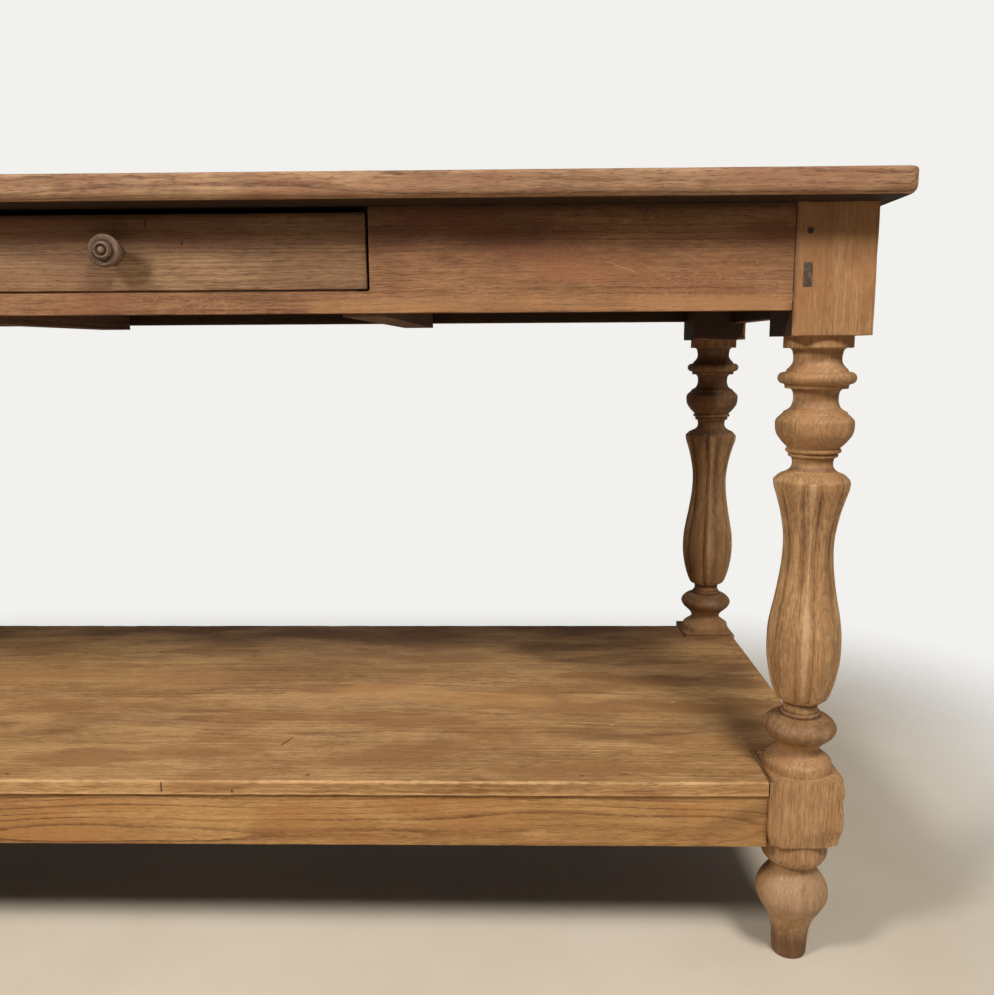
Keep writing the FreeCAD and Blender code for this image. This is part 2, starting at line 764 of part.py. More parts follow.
def make_drawer():
    """Front, sides, back, bottom and knob, dovetailed and grooved together."""
    half_panel = drawer_side_inside_x + t.drawer_groove_depth - t.joint_clearance
    node(block("drawer_bottom_panel", (-half_panel, half_panel),
               (drawer_front_inside_y - t.drawer_groove_depth + t.joint_clearance, drawer_rear_y),
               (drawer_panel_bottom, drawer_panel_top)), "drawer_bottom")
    groove_half = drawer_side_inside_x + t.drawer_groove_depth
    groove = block("bottom_groove", (-groove_half, groove_half),
                   (drawer_front_inside_y - t.drawer_groove_depth, drawer_rear_y + t.overrun),
                   (drawer_panel_bottom, drawer_panel_top))
    sockets = []
    back_sockets = []
    for side, word in ((-1, "left"), (1, "right")):
        piece, front_tails, back_tails = drawer_side("drawer_side_" + word, side, groove)
        node(piece, "drawer_side_" + word)
        sockets += front_tails
        back_sockets += back_tails
    board = block("drawer_front_board", (-drawer_half_width, drawer_half_width),
                  (drawer_face_y, drawer_front_inside_y), (drawer_front_bottom, drawer_front_top))
    knob_hole = rod("knob_hole", t.knob_tenon_radius + t.fastener_clearance,
                    t.drawer_front_thickness + t.overrun * 2, 0, drawer_face_y - t.overrun, knob_height,
                    FreeCAD.Rotation(Vector(1, 0, 0), -90))
    node(cut("drawer_front", board, sockets + [groove, knob_hole]), "drawer_front")
    back = block("drawer_back_board", (-drawer_half_width, drawer_half_width),
                 (drawer_rear_y - t.drawer_back_thickness, drawer_rear_y),
                 (drawer_panel_top, drawer_back_top))
    node(cut("drawer_back", back, back_sockets), "drawer_back")
    node(knob(), "drawer_knob")


# Running gear

def stub(name, x, side, z, hole=False):
    """A stub tenon at one end of a cross piece, or the mortise that takes it."""
    run = span(side * apron_inside_y, side * (apron_inside_y + t.stub_length))
    if hole:
        run = past(past(run, side, t.joint_clearance), -side, t.overrun)
        x = grown(x, t.joint_clearance)
        z = grown(z, t.joint_clearance)
    return block(name, x, run, z)


def make_running_gear():
    """Runners stub-tenoned between the long aprons, guides and stops on them."""
    mortises = []
    stops = []
    for side, word in ((-1, "left"), (1, "right")):
        x = span(side * runner_inner_x, side * (runner_inner_x + t.runner_width))
        z = (opening_bottom - t.runner_depth, opening_bottom)
        pieces = [block(f"runner_board_{word}", x, (-apron_inside_y, apron_inside_y), z)]
        stub_x = (x[0] + t.stub_shoulder, x[1] - t.stub_shoulder)
        stub_z = (z[0] + t.stub_shoulder, z[1] - t.stub_shoulder)
        for end in (-1, 1):
            end_word = "front" if end < 0 else "back"
            pieces.append(stub(f"runner_stub_{word}_{end_word}", stub_x, end, stub_z))
            mortises.append(stub(f"runner_mortise_{word}_{end_word}", stub_x, end, stub_z, hole=True))
        node(joined("drawer_runner_" + word, pieces), "drawer_runner_" + word)
        guide_x = span(side * half_opening, side * (half_opening + t.guide_width))
        node(block("drawer_guide_" + word, guide_x, (-apron_inside_y, apron_inside_y),
                   (opening_bottom, opening_bottom + t.guide_height)), "drawer_guide_" + word)
        stop_x = span(side * runner_inner_x, side * (runner_inner_x + t.stop_width))
        stop_y = drawer_rear_y + t.running_clearance
        stops.append(block(f"stop_{word}", stop_x, (stop_y, stop_y + t.stop_length),
                           (opening_bottom, opening_bottom + t.stop_height)))
    node(gathered("drawer_stops", stops), "drawer_stops")
    return mortises


def front_apron_blank(blank):
    """The front apron with the notch for the drawer, rounded at its lower corners."""
    notch = slab("opening_notch", (-half_opening, half_opening),
                 (-(apron_face_y + t.overrun), -(apron_inside_y - t.overrun)),
                 t.opening_height + t.overrun, opening_bottom)
    tiny = float(t.opening_height) / 1000
    # Rounded by no more than the gap beside the drawer, so that the drawer's sides clear it
    round_edges(notch, "notch_corners", t.drawer_side_gap,
                lambda edge, middle: middle.z < tiny and abs(middle.x) > tiny)
    return cut("front_apron_notched", blank, [notch])


def make_frame():
    """Aprons, lower rails and the bearer, with their tenons in the legs."""
    buttons, screws, grooves, screw_holes = button_pieces()
    runner_mortises = make_running_gear()
    upper = (upper_tenon_bottom, upper_tenon_top)
    aprons = {
        "front_apron": ("x", -1, apron_face_y, t.front_apron_depth),
        "back_apron": ("x", 1, apron_face_y, t.back_apron_depth),
        "left_apron": ("y", -1, apron_face_x, t.side_apron_depth),
        "right_apron": ("y", 1, apron_face_x, t.side_apron_depth),
    }
    peg_holes = []
    pegs = []
    leg_peg_holes = {}
    for count, (leg, axis, side, x, y) in enumerate(peg_places(), start=1):
        hole = peg(f"peg_hole_{count}", x, y, axis, side, hole=True)
        peg_holes.append(hole)
        leg_peg_holes.setdefault(leg, []).append(hole)
        pegs.append(peg(f"peg_{count}", x, y, axis, side))
    for name, (along, side, face, depth) in aprons.items():
        blank = tenoned_board(name, along, side, face, t.apron_thickness,
                              top_underside - depth, top_underside, *upper)
        across = "y" if along == "x" else "x"
        tools = peg_holes + grooves[across]
        if along == "x":
            tools = tools + runner_mortises
        if name == "front_apron":
            blank = front_apron_blank(blank)
        node(cut(name, blank, tools), name)
    node(gathered("apron_pegs", pegs), "apron_pegs")
    node(gathered("top_buttons", buttons), "top_buttons")
    node(gathered("button_screws", screws), "button_screws")
    return leg_peg_holes, screw_holes


def make_lower_frame(nail_holes):
    """Rails between the lower blocks and the bearer under the middle of the shelf."""
    lower = (rail_middle - t.lower_tenon_height / 2, rail_middle + t.lower_tenon_height / 2)
    rails = {
        "lower_rail_front": ("x", -1, rail_front_y),
        "lower_rail_back": ("x", 1, rail_back_y),
        "lower_rail_left": ("y", -1, rail_end_x),
        "lower_rail_right": ("y", 1, rail_end_x),
    }
    half_width = t.bearer_width / 2
    bearer_z = (shelf_bottom - t.bearer_depth, shelf_bottom)
    front_inside = -(rail_front_y - t.lower_rail_thickness)
    back_inside = rail_back_y - t.lower_rail_thickness
    stub_x = (-half_width + t.stub_shoulder, half_width - t.stub_shoulder)
    stub_z = (bearer_z[0] + t.stub_shoulder, bearer_z[1] - t.stub_shoulder)
    stub_y = (front_inside - t.stub_length, back_inside + t.stub_length)
    bearer = joined("shelf_bearer", [
        block("bearer_board", (-half_width, half_width), (front_inside, back_inside), bearer_z),
        block("bearer_stubs", stub_x, stub_y, stub_z),
    ])
    node(bearer, "shelf_bearer")
    bearer_mortises = block("bearer_mortises", grown(stub_x, t.joint_clearance),
                            grown(stub_y, t.joint_clearance), grown(stub_z, t.joint_clearance))
    for name, (along, side, face) in rails.items():
        blank = tenoned_board(name, along, side, face, t.lower_rail_thickness,
                              rail_bottom, shelf_bottom, *lower)
        tools = nail_holes + ([bearer_mortises] if along == "x" else [])
        node(cut(name, blank, tools), name)


def make_boards(screw_holes, nail_holes):
    """The top and the shelf, each parted into boards that are glued edge to edge."""
    top = tabletop()
    half_length = t.table_length / 2 + t.overrun
    places = ["front", "mid_front", "mid_back", "back"]
    for strip, place_name in zip(strips("top", places, (-half_length, half_length),
                                        (-t.table_depth / 2, t.table_depth / 2),
                                        grown((top_underside, t.table_height), t.overrun)), places):
        board = trimmed(f"top_{place_name}_plain", top, strip)
        node(cut(f"top_board_{place_name}", board, screw_holes), f"top_board_{place_name}")

    shelf = shelf_slab()
    notches = []
    for depth_side in (-1, 1):
        for end_side in (-1, 1):
            x = span(end_side * (inner_x - t.shelf_notch_clearance), end_side * (outer_x + t.overrun))
            y = span(depth_side * (inner_y - t.shelf_notch_clearance), depth_side * (outer_y + t.overrun))
            notches.append(block(f"shelf_notch_{len(notches) + 1}", x, y,
                                 grown((shelf_bottom, t.shelf_top_height), t.overrun)))
    shelf_places = ["front", "middle", "back"]
    for strip, place_name in zip(strips("shelf", shelf_places, (-outer_x, outer_x),
                                        (shelf_front_y, shelf_back_y),
                                        grown((shelf_bottom, t.shelf_top_height), t.overrun)),
                                 shelf_places):
        board = trimmed(f"shelf_{place_name}_plain", shelf, strip)
        node(cut(f"shelf_board_{place_name}", board, notches + nail_holes), f"shelf_board_{place_name}")


def make_patch():
    """The strip of filler let into the face of the front right leg, and its recess."""
    left = inner_x + t.patch_inset
    x = (left, left + t.patch_width)
    top = top_underside - t.patch_drop
    z = (top - t.patch_height, top)
    face = -outer_y
    node(block("leg_patch", x, (face, face + t.patch_thickness), z), "leg_filler_patch")
    return block("patch_recess", x, (face - t.overrun, face + t.patch_thickness), z)


def make_legs(peg_holes):
    """Four legs from one pattern, each turned to face its own corner."""
    blank = leg_blank()
    doc.recompute()
    recess = make_patch()
    corners = {
        "front_right": (1, -1, 0),
        "back_right": (1, 1, 90),
        "back_left": (-1, 1, 180),
        "front_left": (-1, -1, 270),
    }
    for leg, (end_side, depth_side, angle) in corners.items():
        copy = doc.addObject("Part::Feature", leg + "_leg_blank")
        copy.Shape = blank.Shape.copy()
        place(copy, end_side * leg_x, depth_side * leg_y, 0, FreeCAD.Rotation(Vector(0, 0, 1), angle))
        tools = frame_mortises[leg] + peg_holes[leg]
        if leg == "front_right":
            tools = tools + [recess]
        node(cut("leg_" + leg, copy, tools), "leg_" + leg)


def check_and_write():
    """Stops on any failed object or empty shape, then writes one file for each node."""
    doc.recompute()
    failed = [item.Name for item in doc.Objects if "Invalid" in item.State or "Error" in item.State]
    if failed:
        raise RuntimeError("failed objects: " + ", ".join(failed))
    os.makedirs("parts", exist_ok=True)
    for item in nodes:
        shape = item.Shape
        if shape.isNull() or not shape.isValid() or not shape.Solids:
            raise RuntimeError("bad shape: " + item.Label)
        shape.exportStep(f"parts/{item.Label}.step")
        box = shape.BoundBox
        print(f"{item.Label:24s} {len(shape.Solids):3d} solids  {shape.Volume / 1000:10.1f} cm3  "
              f"{box.XLength:7.1f} {box.YLength:7.1f} {box.ZLength:7.1f}")


leg_peg_holes, top_screw_holes = make_frame()
shelf_nails = [nail(f"nail_{count}", x, y, 0) for count, (x, y) in enumerate(nail_places(), start=1)]
shelf_nail_holes = [nail(f"nail_hole_{count}", x, y, t.fastener_clearance)
                    for count, (x, y) in enumerate(nail_places(), start=1)]
make_lower_frame(shelf_nail_holes)
node(gathered("shelf_nails", shelf_nails), "shelf_nails")
make_boards(top_screw_holes, shelf_nail_holes)
make_legs(leg_peg_holes)
make_drawer()
check_and_write()
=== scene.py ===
# %% [markdown]
# # A drapers table in old oak
# The table is a long worktop on four turned and fluted legs, with one shallow drawer and a low shelf.
# Its construction is already made as solids. This script loads them as a fixed frame, dresses them
# in wood that shows its age, and replaces the pieces whose beauty is in soft, worn shapes: the legs,
# the knob and every board that meets a hand or a broom.

# %% Load the frame
import math
import random

import bmesh
import bpy
from mathutils import Matrix, Vector, noise


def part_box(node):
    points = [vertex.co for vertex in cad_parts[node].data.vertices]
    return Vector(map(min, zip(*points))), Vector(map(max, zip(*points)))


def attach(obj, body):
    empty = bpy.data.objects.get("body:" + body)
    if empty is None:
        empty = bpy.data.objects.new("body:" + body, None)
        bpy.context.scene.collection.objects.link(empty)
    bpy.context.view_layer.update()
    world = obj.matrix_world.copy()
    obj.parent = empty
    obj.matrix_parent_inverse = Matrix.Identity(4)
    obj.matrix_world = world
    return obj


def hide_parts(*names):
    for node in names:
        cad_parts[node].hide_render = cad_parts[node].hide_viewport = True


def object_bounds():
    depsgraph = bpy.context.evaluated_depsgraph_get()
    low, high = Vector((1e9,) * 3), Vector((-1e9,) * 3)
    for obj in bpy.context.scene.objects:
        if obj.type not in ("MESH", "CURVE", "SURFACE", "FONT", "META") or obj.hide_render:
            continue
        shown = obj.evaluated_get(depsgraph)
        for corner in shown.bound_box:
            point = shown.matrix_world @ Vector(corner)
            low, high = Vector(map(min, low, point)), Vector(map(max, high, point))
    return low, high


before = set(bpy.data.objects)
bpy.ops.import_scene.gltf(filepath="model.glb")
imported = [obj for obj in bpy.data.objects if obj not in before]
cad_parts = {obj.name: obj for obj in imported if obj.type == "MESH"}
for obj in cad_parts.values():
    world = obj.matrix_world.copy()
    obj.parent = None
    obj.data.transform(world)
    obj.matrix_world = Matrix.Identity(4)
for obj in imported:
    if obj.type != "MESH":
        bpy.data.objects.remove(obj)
cad_low, cad_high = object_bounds()
print("frame:", len(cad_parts), "nodes,", tuple(round(size, 3) for size in cad_high - cad_low))

# %% [markdown]
# ## Camera
# The camera stands where the photographer did. Its place, its two tilts and its focal length were
# worked out from straight edges of the table, so they are plain numbers. A rotation matrix sets all
# three angles at once: its columns are the camera's right, its up, and the opposite of its view.

# %% Camera
camera_place = Vector((0.398, -1.218, 0.687))
pitch_down = math.radians(9.295)
turn_left = math.radians(1.168)
roll = math.radians(-0.341)
image_height = 995
focal_pixels = 914.8

forward = Vector((
    -math.sin(turn_left) * math.cos(pitch_down),
    math.cos(turn_left) * math.cos(pitch_down),
    -math.sin(pitch_down),
))
level = Vector((math.cos(turn_left), math.sin(turn_left), 0))
upright = level.cross(forward)
camera_right = math.cos(roll) * level + math.sin(roll) * upright
camera_up = math.cos(roll) * upright - math.sin(roll) * level

camera = bpy.data.objects.new("camera", bpy.data.cameras.new("camera"))
camera.data.lens = camera.data.sensor_width * focal_pixels / image_height
camera.matrix_world = Matrix.Translation(camera_place) @ Matrix(
    (camera_right, camera_up, -forward)).transposed().to_4x4()
bpy.context.scene.collection.objects.link(camera)
bpy.context.scene.camera = camera
print("camera lens:", round(camera.data.lens, 2), "mm")

# %% [markdown]
# ## Light
# The knob's shadow falls to the right and down, and the shadow under the overhanging top ends half
# way down the drawer: the main light comes from the left, as high as it is near. The turned legs
# are just as bright on their right side, so a second, softer light stands over the right end. A
# broad, weak one behind the table acts as a pale wall there. It is kept out of reflections, so that
# it lays no haze on the shelf.

# %% Light
bpy.context.scene.view_settings.view_transform = "Standard"


def lamp(name, place, target, size, watts, color):
    """A round soft lamp that faces a target."""
    made = bpy.data.objects.new(name, bpy.data.lights.new(name, "AREA"))
    made.data.shape = "DISK"
    made.data.size = size
    made.data.energy = watts
    made.data.color = color
    made.location = place
    made.rotation_euler = (Vector(target) - Vector(place)).to_track_quat("-Z", "Y").to_euler()
    made.visible_camera = False
    bpy.context.scene.collection.objects.link(made)
    print(name, watts, "W at", place)
    return made


lamp("key_light", (-1.20, -1.50, 1.90), (0.1, -0.2, 0.6), 0.5, 38, (1.0, 0.98, 0.95))
lamp("front_light", (1.15, -1.75, 2.5), (0.6, -0.2, 0.5), 0.8, 53, (1.0, 0.985, 0.96))
back_light = lamp("back_light", (-0.30, 2.40, 1.20), (0.0, 0.2, 0.5), 1.6, 9, (1.0, 0.99, 0.98))
back_light.visible_glossy = False

# %% [markdown]
# ## Shader helpers
# A material is a small graph of nodes. Each helper adds one node and feeds its sockets, either with
# a constant or with another node's output. A socket knows the graph it is in, so most helpers
# needn't be told, and the graphs below read as recipes.

# %% Shader helpers
def tint(red, green, blue):
    """A colour as seen on a screen, from 0 to 255, as the shader's linear colour."""
    linear = [((part / 255 + 0.055) / 1.055) ** 2.4 for part in (red, green, blue)]
    return (*linear, 1.0)


def feed(socket, value):
    """Links a socket to another node's output, or sets it to a constant."""
    if isinstance(value, bpy.types.NodeSocket):
        socket.id_data.links.new(value, socket)
    else:
        socket.default_value = value


def graph_of(*values):
    """The graph that the first socket among the values is in."""
    return next(value.id_data for value in values if isinstance(value, bpy.types.NodeSocket))


def shade(tree, kind, inputs=None, **settings):
    """Adds a node with its settings and inputs."""
    made = tree.nodes.new("ShaderNode" + kind)
    for name, value in settings.items():
        setattr(made, name, value)
    for name, value in (inputs or {}).items():
        feed(made.inputs[name], value)
    return made


def calc(operation, *values):
    """One step of arithmetic."""
    return shade(graph_of(*values), "Math", dict(enumerate(values)), operation=operation).outputs[0]


def times(first, second):
    """The product of two numbers."""
    return calc("MULTIPLY", first, second)


def times_plus(first, second, third):
    """The product of two numbers, plus a third."""
    return calc("MULTIPLY_ADD", first, second, third)


def vector_calc(operation, *values):
    """One step of vector arithmetic."""
    made = shade(graph_of(*values), "VectorMath", dict(enumerate(values)), operation=operation)
    return made.outputs["Value" if operation in ("LENGTH", "DISTANCE", "DOT_PRODUCT") else "Vector"]


def scaled(vector, factor):
    """A vector times a number."""
    return shade(graph_of(vector), "VectorMath", {0: vector, "Scale": factor}, operation="SCALE").outputs[0]


def smooth_step(value, low, high, first=0.0, last=1.0):
    """Goes smoothly from first to last while the value goes from low to high."""
    return shade(graph_of(value), "MapRange", {"Value": value, 1: low, 2: high, 3: first, 4: last},
                 interpolation_type="SMOOTHSTEP").outputs["Result"]


def stretched_noise(place, stretch, detail=2.0, roughness=0.5, output="Fac"):
    """Noise whose cells are stretched along the grain, in cells for each metre."""
    made = shade(graph_of(place), "TexNoise", {"Vector": vector_calc("MULTIPLY", place, stretch),
                                               "Scale": 1.0, "Detail": detail, "Roughness": roughness})
    return made.outputs[output]


def blend(factor, first, second, kind="MIX"):
    """Mixes two colours."""
    return shade(graph_of(factor, first, second), "Mix", {0: factor, 6: first, 7: second},
                 data_type="RGBA", blend_type=kind).outputs[2]


def new_group(name, inputs, outputs):
    """A node group with named inputs and outputs."""
    tree = bpy.data.node_groups.new(name, "ShaderNodeTree")
    for direction, sockets in (("INPUT", inputs), ("OUTPUT", outputs)):
        for socket_name, kind in sockets.items():
            tree.interface.new_socket(socket_name, in_out=direction, socket_type="NodeSocket" + kind)
    return tree, tree.nodes.new("NodeGroupInput").outputs, tree.nodes.new("NodeGroupOutput").inputs


def new_material(name):
    """A material, its graph and its surface shader."""
    material = bpy.data.materials.new(name)
    material.use_nodes = True
    return material, material.node_tree, material.node_tree.nodes["Principled BSDF"]


print("mid grey as the shader's colour:", [round(part, 3) for part in tint(128, 128, 128)])

# %% [markdown]
# ## Oak
# Oak shows four things at arm's length: growth rings, which are lines along a board and arches
# where the saw left the heart behind; open pores, short dark dashes that crowd along each ring;
# long fibres; and pale flecks across the grain where the board was sawn through the rays. The rings
# here are real rings: the distance of each point from a wandering heart line, so the same graph
# draws arches on a face, lines on an edge and arcs on end grain. It works in metres, with X along
# the grain, Y across the face and Z into the board.

# %% Oak growth
mask_sockets = dict.fromkeys(["Lines", "Pores", "Fibres", "Flecks", "Patches", "Clouds"], "Float")
growth, given, made = new_group(
    "oak_growth",
    {"Place": "Vector", "Heart Side": "Float", "Heart Depth": "Float", "Ring Width": "Float",
     "Wander": "Float"},
    mask_sockets,
)
place = given["Place"]
drift = vector_calc("SUBTRACT", stretched_noise(place, (1.5, 7.0, 7.0), output="Color"), (0.5, 0.5, 0.5))
bent = vector_calc("ADD", place, scaled(drift, given["Wander"]))
bent = shade(growth, "SeparateXYZ", {0: bent}).outputs
across = calc("SUBTRACT", bent["Y"], given["Heart Side"])
depth = calc("ADD", bent["Z"], given["Heart Depth"])
ring_radius = calc("SQRT", calc("ADD", times(across, across), times(depth, depth)))
ragged = stretched_noise(place, (14.0, 110.0, 110.0), 4.0, 0.65)
ring_radius = times_plus(ragged, 0.0022, ring_radius)
season = shade(growth, "TexNoise", {"W": ring_radius, "Scale": 80.0, "Detail": 2.0},
               noise_dimensions="1D").outputs["Fac"]
ring_radius = times_plus(season, 0.012, ring_radius)
phase = calc("FRACT", calc("DIVIDE", ring_radius, given["Ring Width"]))
early = smooth_step(phase, 0.0, 0.38, 1.0, 0.0)
late = smooth_step(phase, 0.93, 1.0)
presence = smooth_step(stretched_noise(place, (3.5, 34.0, 34.0), 3.0), 0.36, 0.60, 0.22, 1.0)
lines = times(calc("MAXIMUM", early, late), presence)
dashes = stretched_noise(place, (90.0, 900.0, 900.0), 2.0, 0.6)
feed(made["Lines"], times(lines, smooth_step(dashes, 0.38, 0.58, 0.50, 1.0)))
pores = stretched_noise(place, (95.0, 1100.0, 1100.0), 1.0)
pore_edge = times_plus(lines, -0.10, 0.635)
feed(made["Pores"], smooth_step(calc("SUBTRACT", pores, pore_edge), 0.0, 0.05))
fibres = stretched_noise(place, (5.0, 260.0, 260.0), 5.0, 0.62)
streaks = stretched_noise(place, (60.0, 620.0, 620.0), 3.0, 0.6)
feed(made["Fibres"], times_plus(fibres, 0.45, times(streaks, 0.55)))
tilted = shade(growth, "VectorRotate", {"Vector": place, "Axis": (0.0, 0.0, 1.0), "Angle": -0.7}).outputs[0]
flecks = smooth_step(stretched_noise(tilted, (430.0, 150.0, 150.0), 3.0, 0.6), 0.50, 0.68)
fleck_field = smooth_step(stretched_noise(place, (9.0, 22.0, 22.0), 1.0), 0.40, 0.60)
feed(made["Flecks"], times(flecks, fleck_field))
broad = stretched_noise(place, (2.4, 11.0, 11.0), 3.0, 0.55)
small = stretched_noise(place, (17.0, 52.0, 52.0), 3.0, 0.6)
feed(made["Patches"], times_plus(broad, 0.55, times(small, 0.45)))
feed(made["Clouds"], stretched_noise(place, (6.5, 19.0, 19.0), 3.0, 0.55))
print("oak growth:", len(growth.nodes), "nodes")

# %% [markdown]
# ## The colour of old oak
# Wax, light and dust turn the same growth into different woods. This group takes the six growth
# masks and paints them: pale wood, deeper wood in patches and fibres, a blush in clouds, a line
# colour for the rings, and near black for the pores. It also puts out a height for the bump and a
# roughness, because pores stay open and dull where the rest takes a shine.

# %% Oak colour
colouring, given, made = new_group(
    "oak_colouring",
    {**mask_sockets, "Pale": "Color", "Deep": "Color", "Line Colour": "Color", "Blush": "Color",
     "Line Strength": "Float", "Fleck Strength": "Float", "Pore Strength": "Float"},
    {"Colour": "Color", "Height": "Float", "Shine": "Float"},
)
fibre_tone = smooth_step(given["Fibres"], 0.40, 0.60)
patch_tone = smooth_step(given["Patches"], 0.38, 0.62)
colour = blend(times_plus(fibre_tone, 0.5, times(patch_tone, 0.5)), given["Pale"], given["Deep"])
colour = blend(smooth_step(given["Clouds"], 0.46, 0.64, 0.0, 0.75), colour, given["Blush"])
colour = blend(times(given["Lines"], given["Line Strength"]), colour, given["Line Colour"])
bright = blend(1.0, given["Pale"], (1.3, 1.28, 1.24, 1.0), "MULTIPLY")
colour = blend(times(given["Flecks"], given["Fleck Strength"]), colour, bright)
dark = blend(1.0, given["Line Colour"], (0.5, 0.42, 0.38, 1.0), "MULTIPLY")
feed(made["Colour"], blend(times(given["Pores"], given["Pore Strength"]), colour, dark))
height = times_plus(given["Pores"], -0.7, times(given["Fibres"], 0.5))
feed(made["Height"], times_plus(given["Lines"], -0.30, height))
feed(made["Shine"], times_plus(given["Pores"], 0.2, times_plus(given["Patches"], 0.20, 0.48)))
print("oak colouring:", len(colouring.nodes), "nodes")

# %% [markdown]
# ## Years of handling, and painted shade
# Hands and brooms rub the arrises pale. Dirt and old polish stay dark in the hollows. The same darkening
# also paints shade into the colour: under the overhanging top, on the back legs, and on faces that look into
# the table or down, which are painted darkest, near black. Where that happens is stored on each mesh as two
# numbers for every point, wear and grime with painted shade. Noise breaks their smooth edges up, so that no
# worn edge is an even stripe.

# %% Handling
handling_and_shade, given, made = new_group(
    "handling_and_shade",
    {"Colour": "Color", "Place": "Vector", "Wear": "Float", "Grime And Shade": "Float", "Worn Colour": "Color",
     "Grime And Shade Colour": "Color"},
    {"Colour": "Color", "Rubbed": "Float"},
)
mottle = stretched_noise(given["Place"], (60.0, 140.0, 140.0), 4.0, 0.6)
spread = stretched_noise(given["Place"], (9.0, 20.0, 20.0))
worn = calc("ADD", given["Wear"], calc("SUBTRACT", mottle, 0.5))
worn = calc("ADD", worn, times_plus(spread, 0.8, -0.4))
worn = times(smooth_step(worn, 0.45, 0.95), smooth_step(given["Wear"], 0.0, 0.25))
# Darkening: dirt in the hollows, and painted shade where the mesh marks it.
dirty_and_shaded = calc("ADD", given["Grime And Shade"], times_plus(mottle, 0.6, -0.3))
dirty_and_shaded = times(smooth_step(dirty_and_shaded, 0.2, 1.0, 0.0, 0.85), smooth_step(given["Grime And Shade"], 0.0, 0.2))
colour = blend(times(worn, 0.7), given["Colour"], given["Worn Colour"])
colour = blend(dirty_and_shaded, colour, given["Grime And Shade Colour"])
# Faces marked as fully shaded are painted near black.
near_black_shade = smooth_step(given["Grime And Shade"], 0.93, 1.0, 0.0, 0.68)
feed(made["Colour"], blend(near_black_shade, colour, tint(26, 19, 14)))
feed(made["Rubbed"], worn)
print("handling:", len(handling_and_shade.nodes), "nodes")

# %% [markdown]
# ## Scratches and spots
# A scratch is a thin straight mark between two places. The mask is one where a point is nearer to
# that line than half the scratch's width. A spot is a scratch of no length.

# %% Scratch
scratch, given, made = new_group(
    "scratch",
    {"Place": "Vector", "From": "Vector", "To": "Vector", "Half Width": "Float"},
    {"Mask": "Float"},
)
run = vector_calc("SUBTRACT", given["To"], given["From"])
out = vector_calc("SUBTRACT", given["Place"], given["From"])
length_squared = calc("ADD", vector_calc("DOT_PRODUCT", run, run), 1e-9)
share = calc("DIVIDE", vector_calc("DOT_PRODUCT", out, run), length_squared)
share = calc("MINIMUM", calc("MAXIMUM", share, 0.0), 1.0)
distance = vector_calc("DISTANCE", out, scaled(run, share))
wobble = stretched_noise(given["Place"], (400.0, 400.0, 400.0))
distance = times(distance, calc("ADD", wobble, 0.5))
feed(made["Mask"], smooth_step(calc("DIVIDE", distance, given["Half Width"]), 0.30, 1.0, 1.0, 0.0))
print("scratch:", len(scratch.nodes), "nodes")

# %% [markdown]
# ## From groups to a material
# Each board gets its own material, so that no two share a pattern: the Mapping node turns the grain to lie
# along the piece and slides the board to its own stretch of the tree. Stains and marks that sit in one place
# on the real table are listed with the board they are on, and so are patches of painted shade and shadow. A
# stain or a patch of painted shade is soft and patchy, and a mark is also a little hollow.

# %% Wood material
def use(tree, group, inputs):
    """Places a node group and feeds it."""
    placed = tree.nodes.new("ShaderNodeGroup")
    placed.node_tree = group
    for name, value in inputs.items():
        feed(placed.inputs[name], value)
    return placed.outputs


def grain_turn(grain, into):
    """The rotation that brings the grain to X and the way into the board to Z."""
    grain, into = Vector(grain), Vector(into)
    return Matrix((grain, into.cross(grain), into)).to_euler()


pore_relief = 0.0004


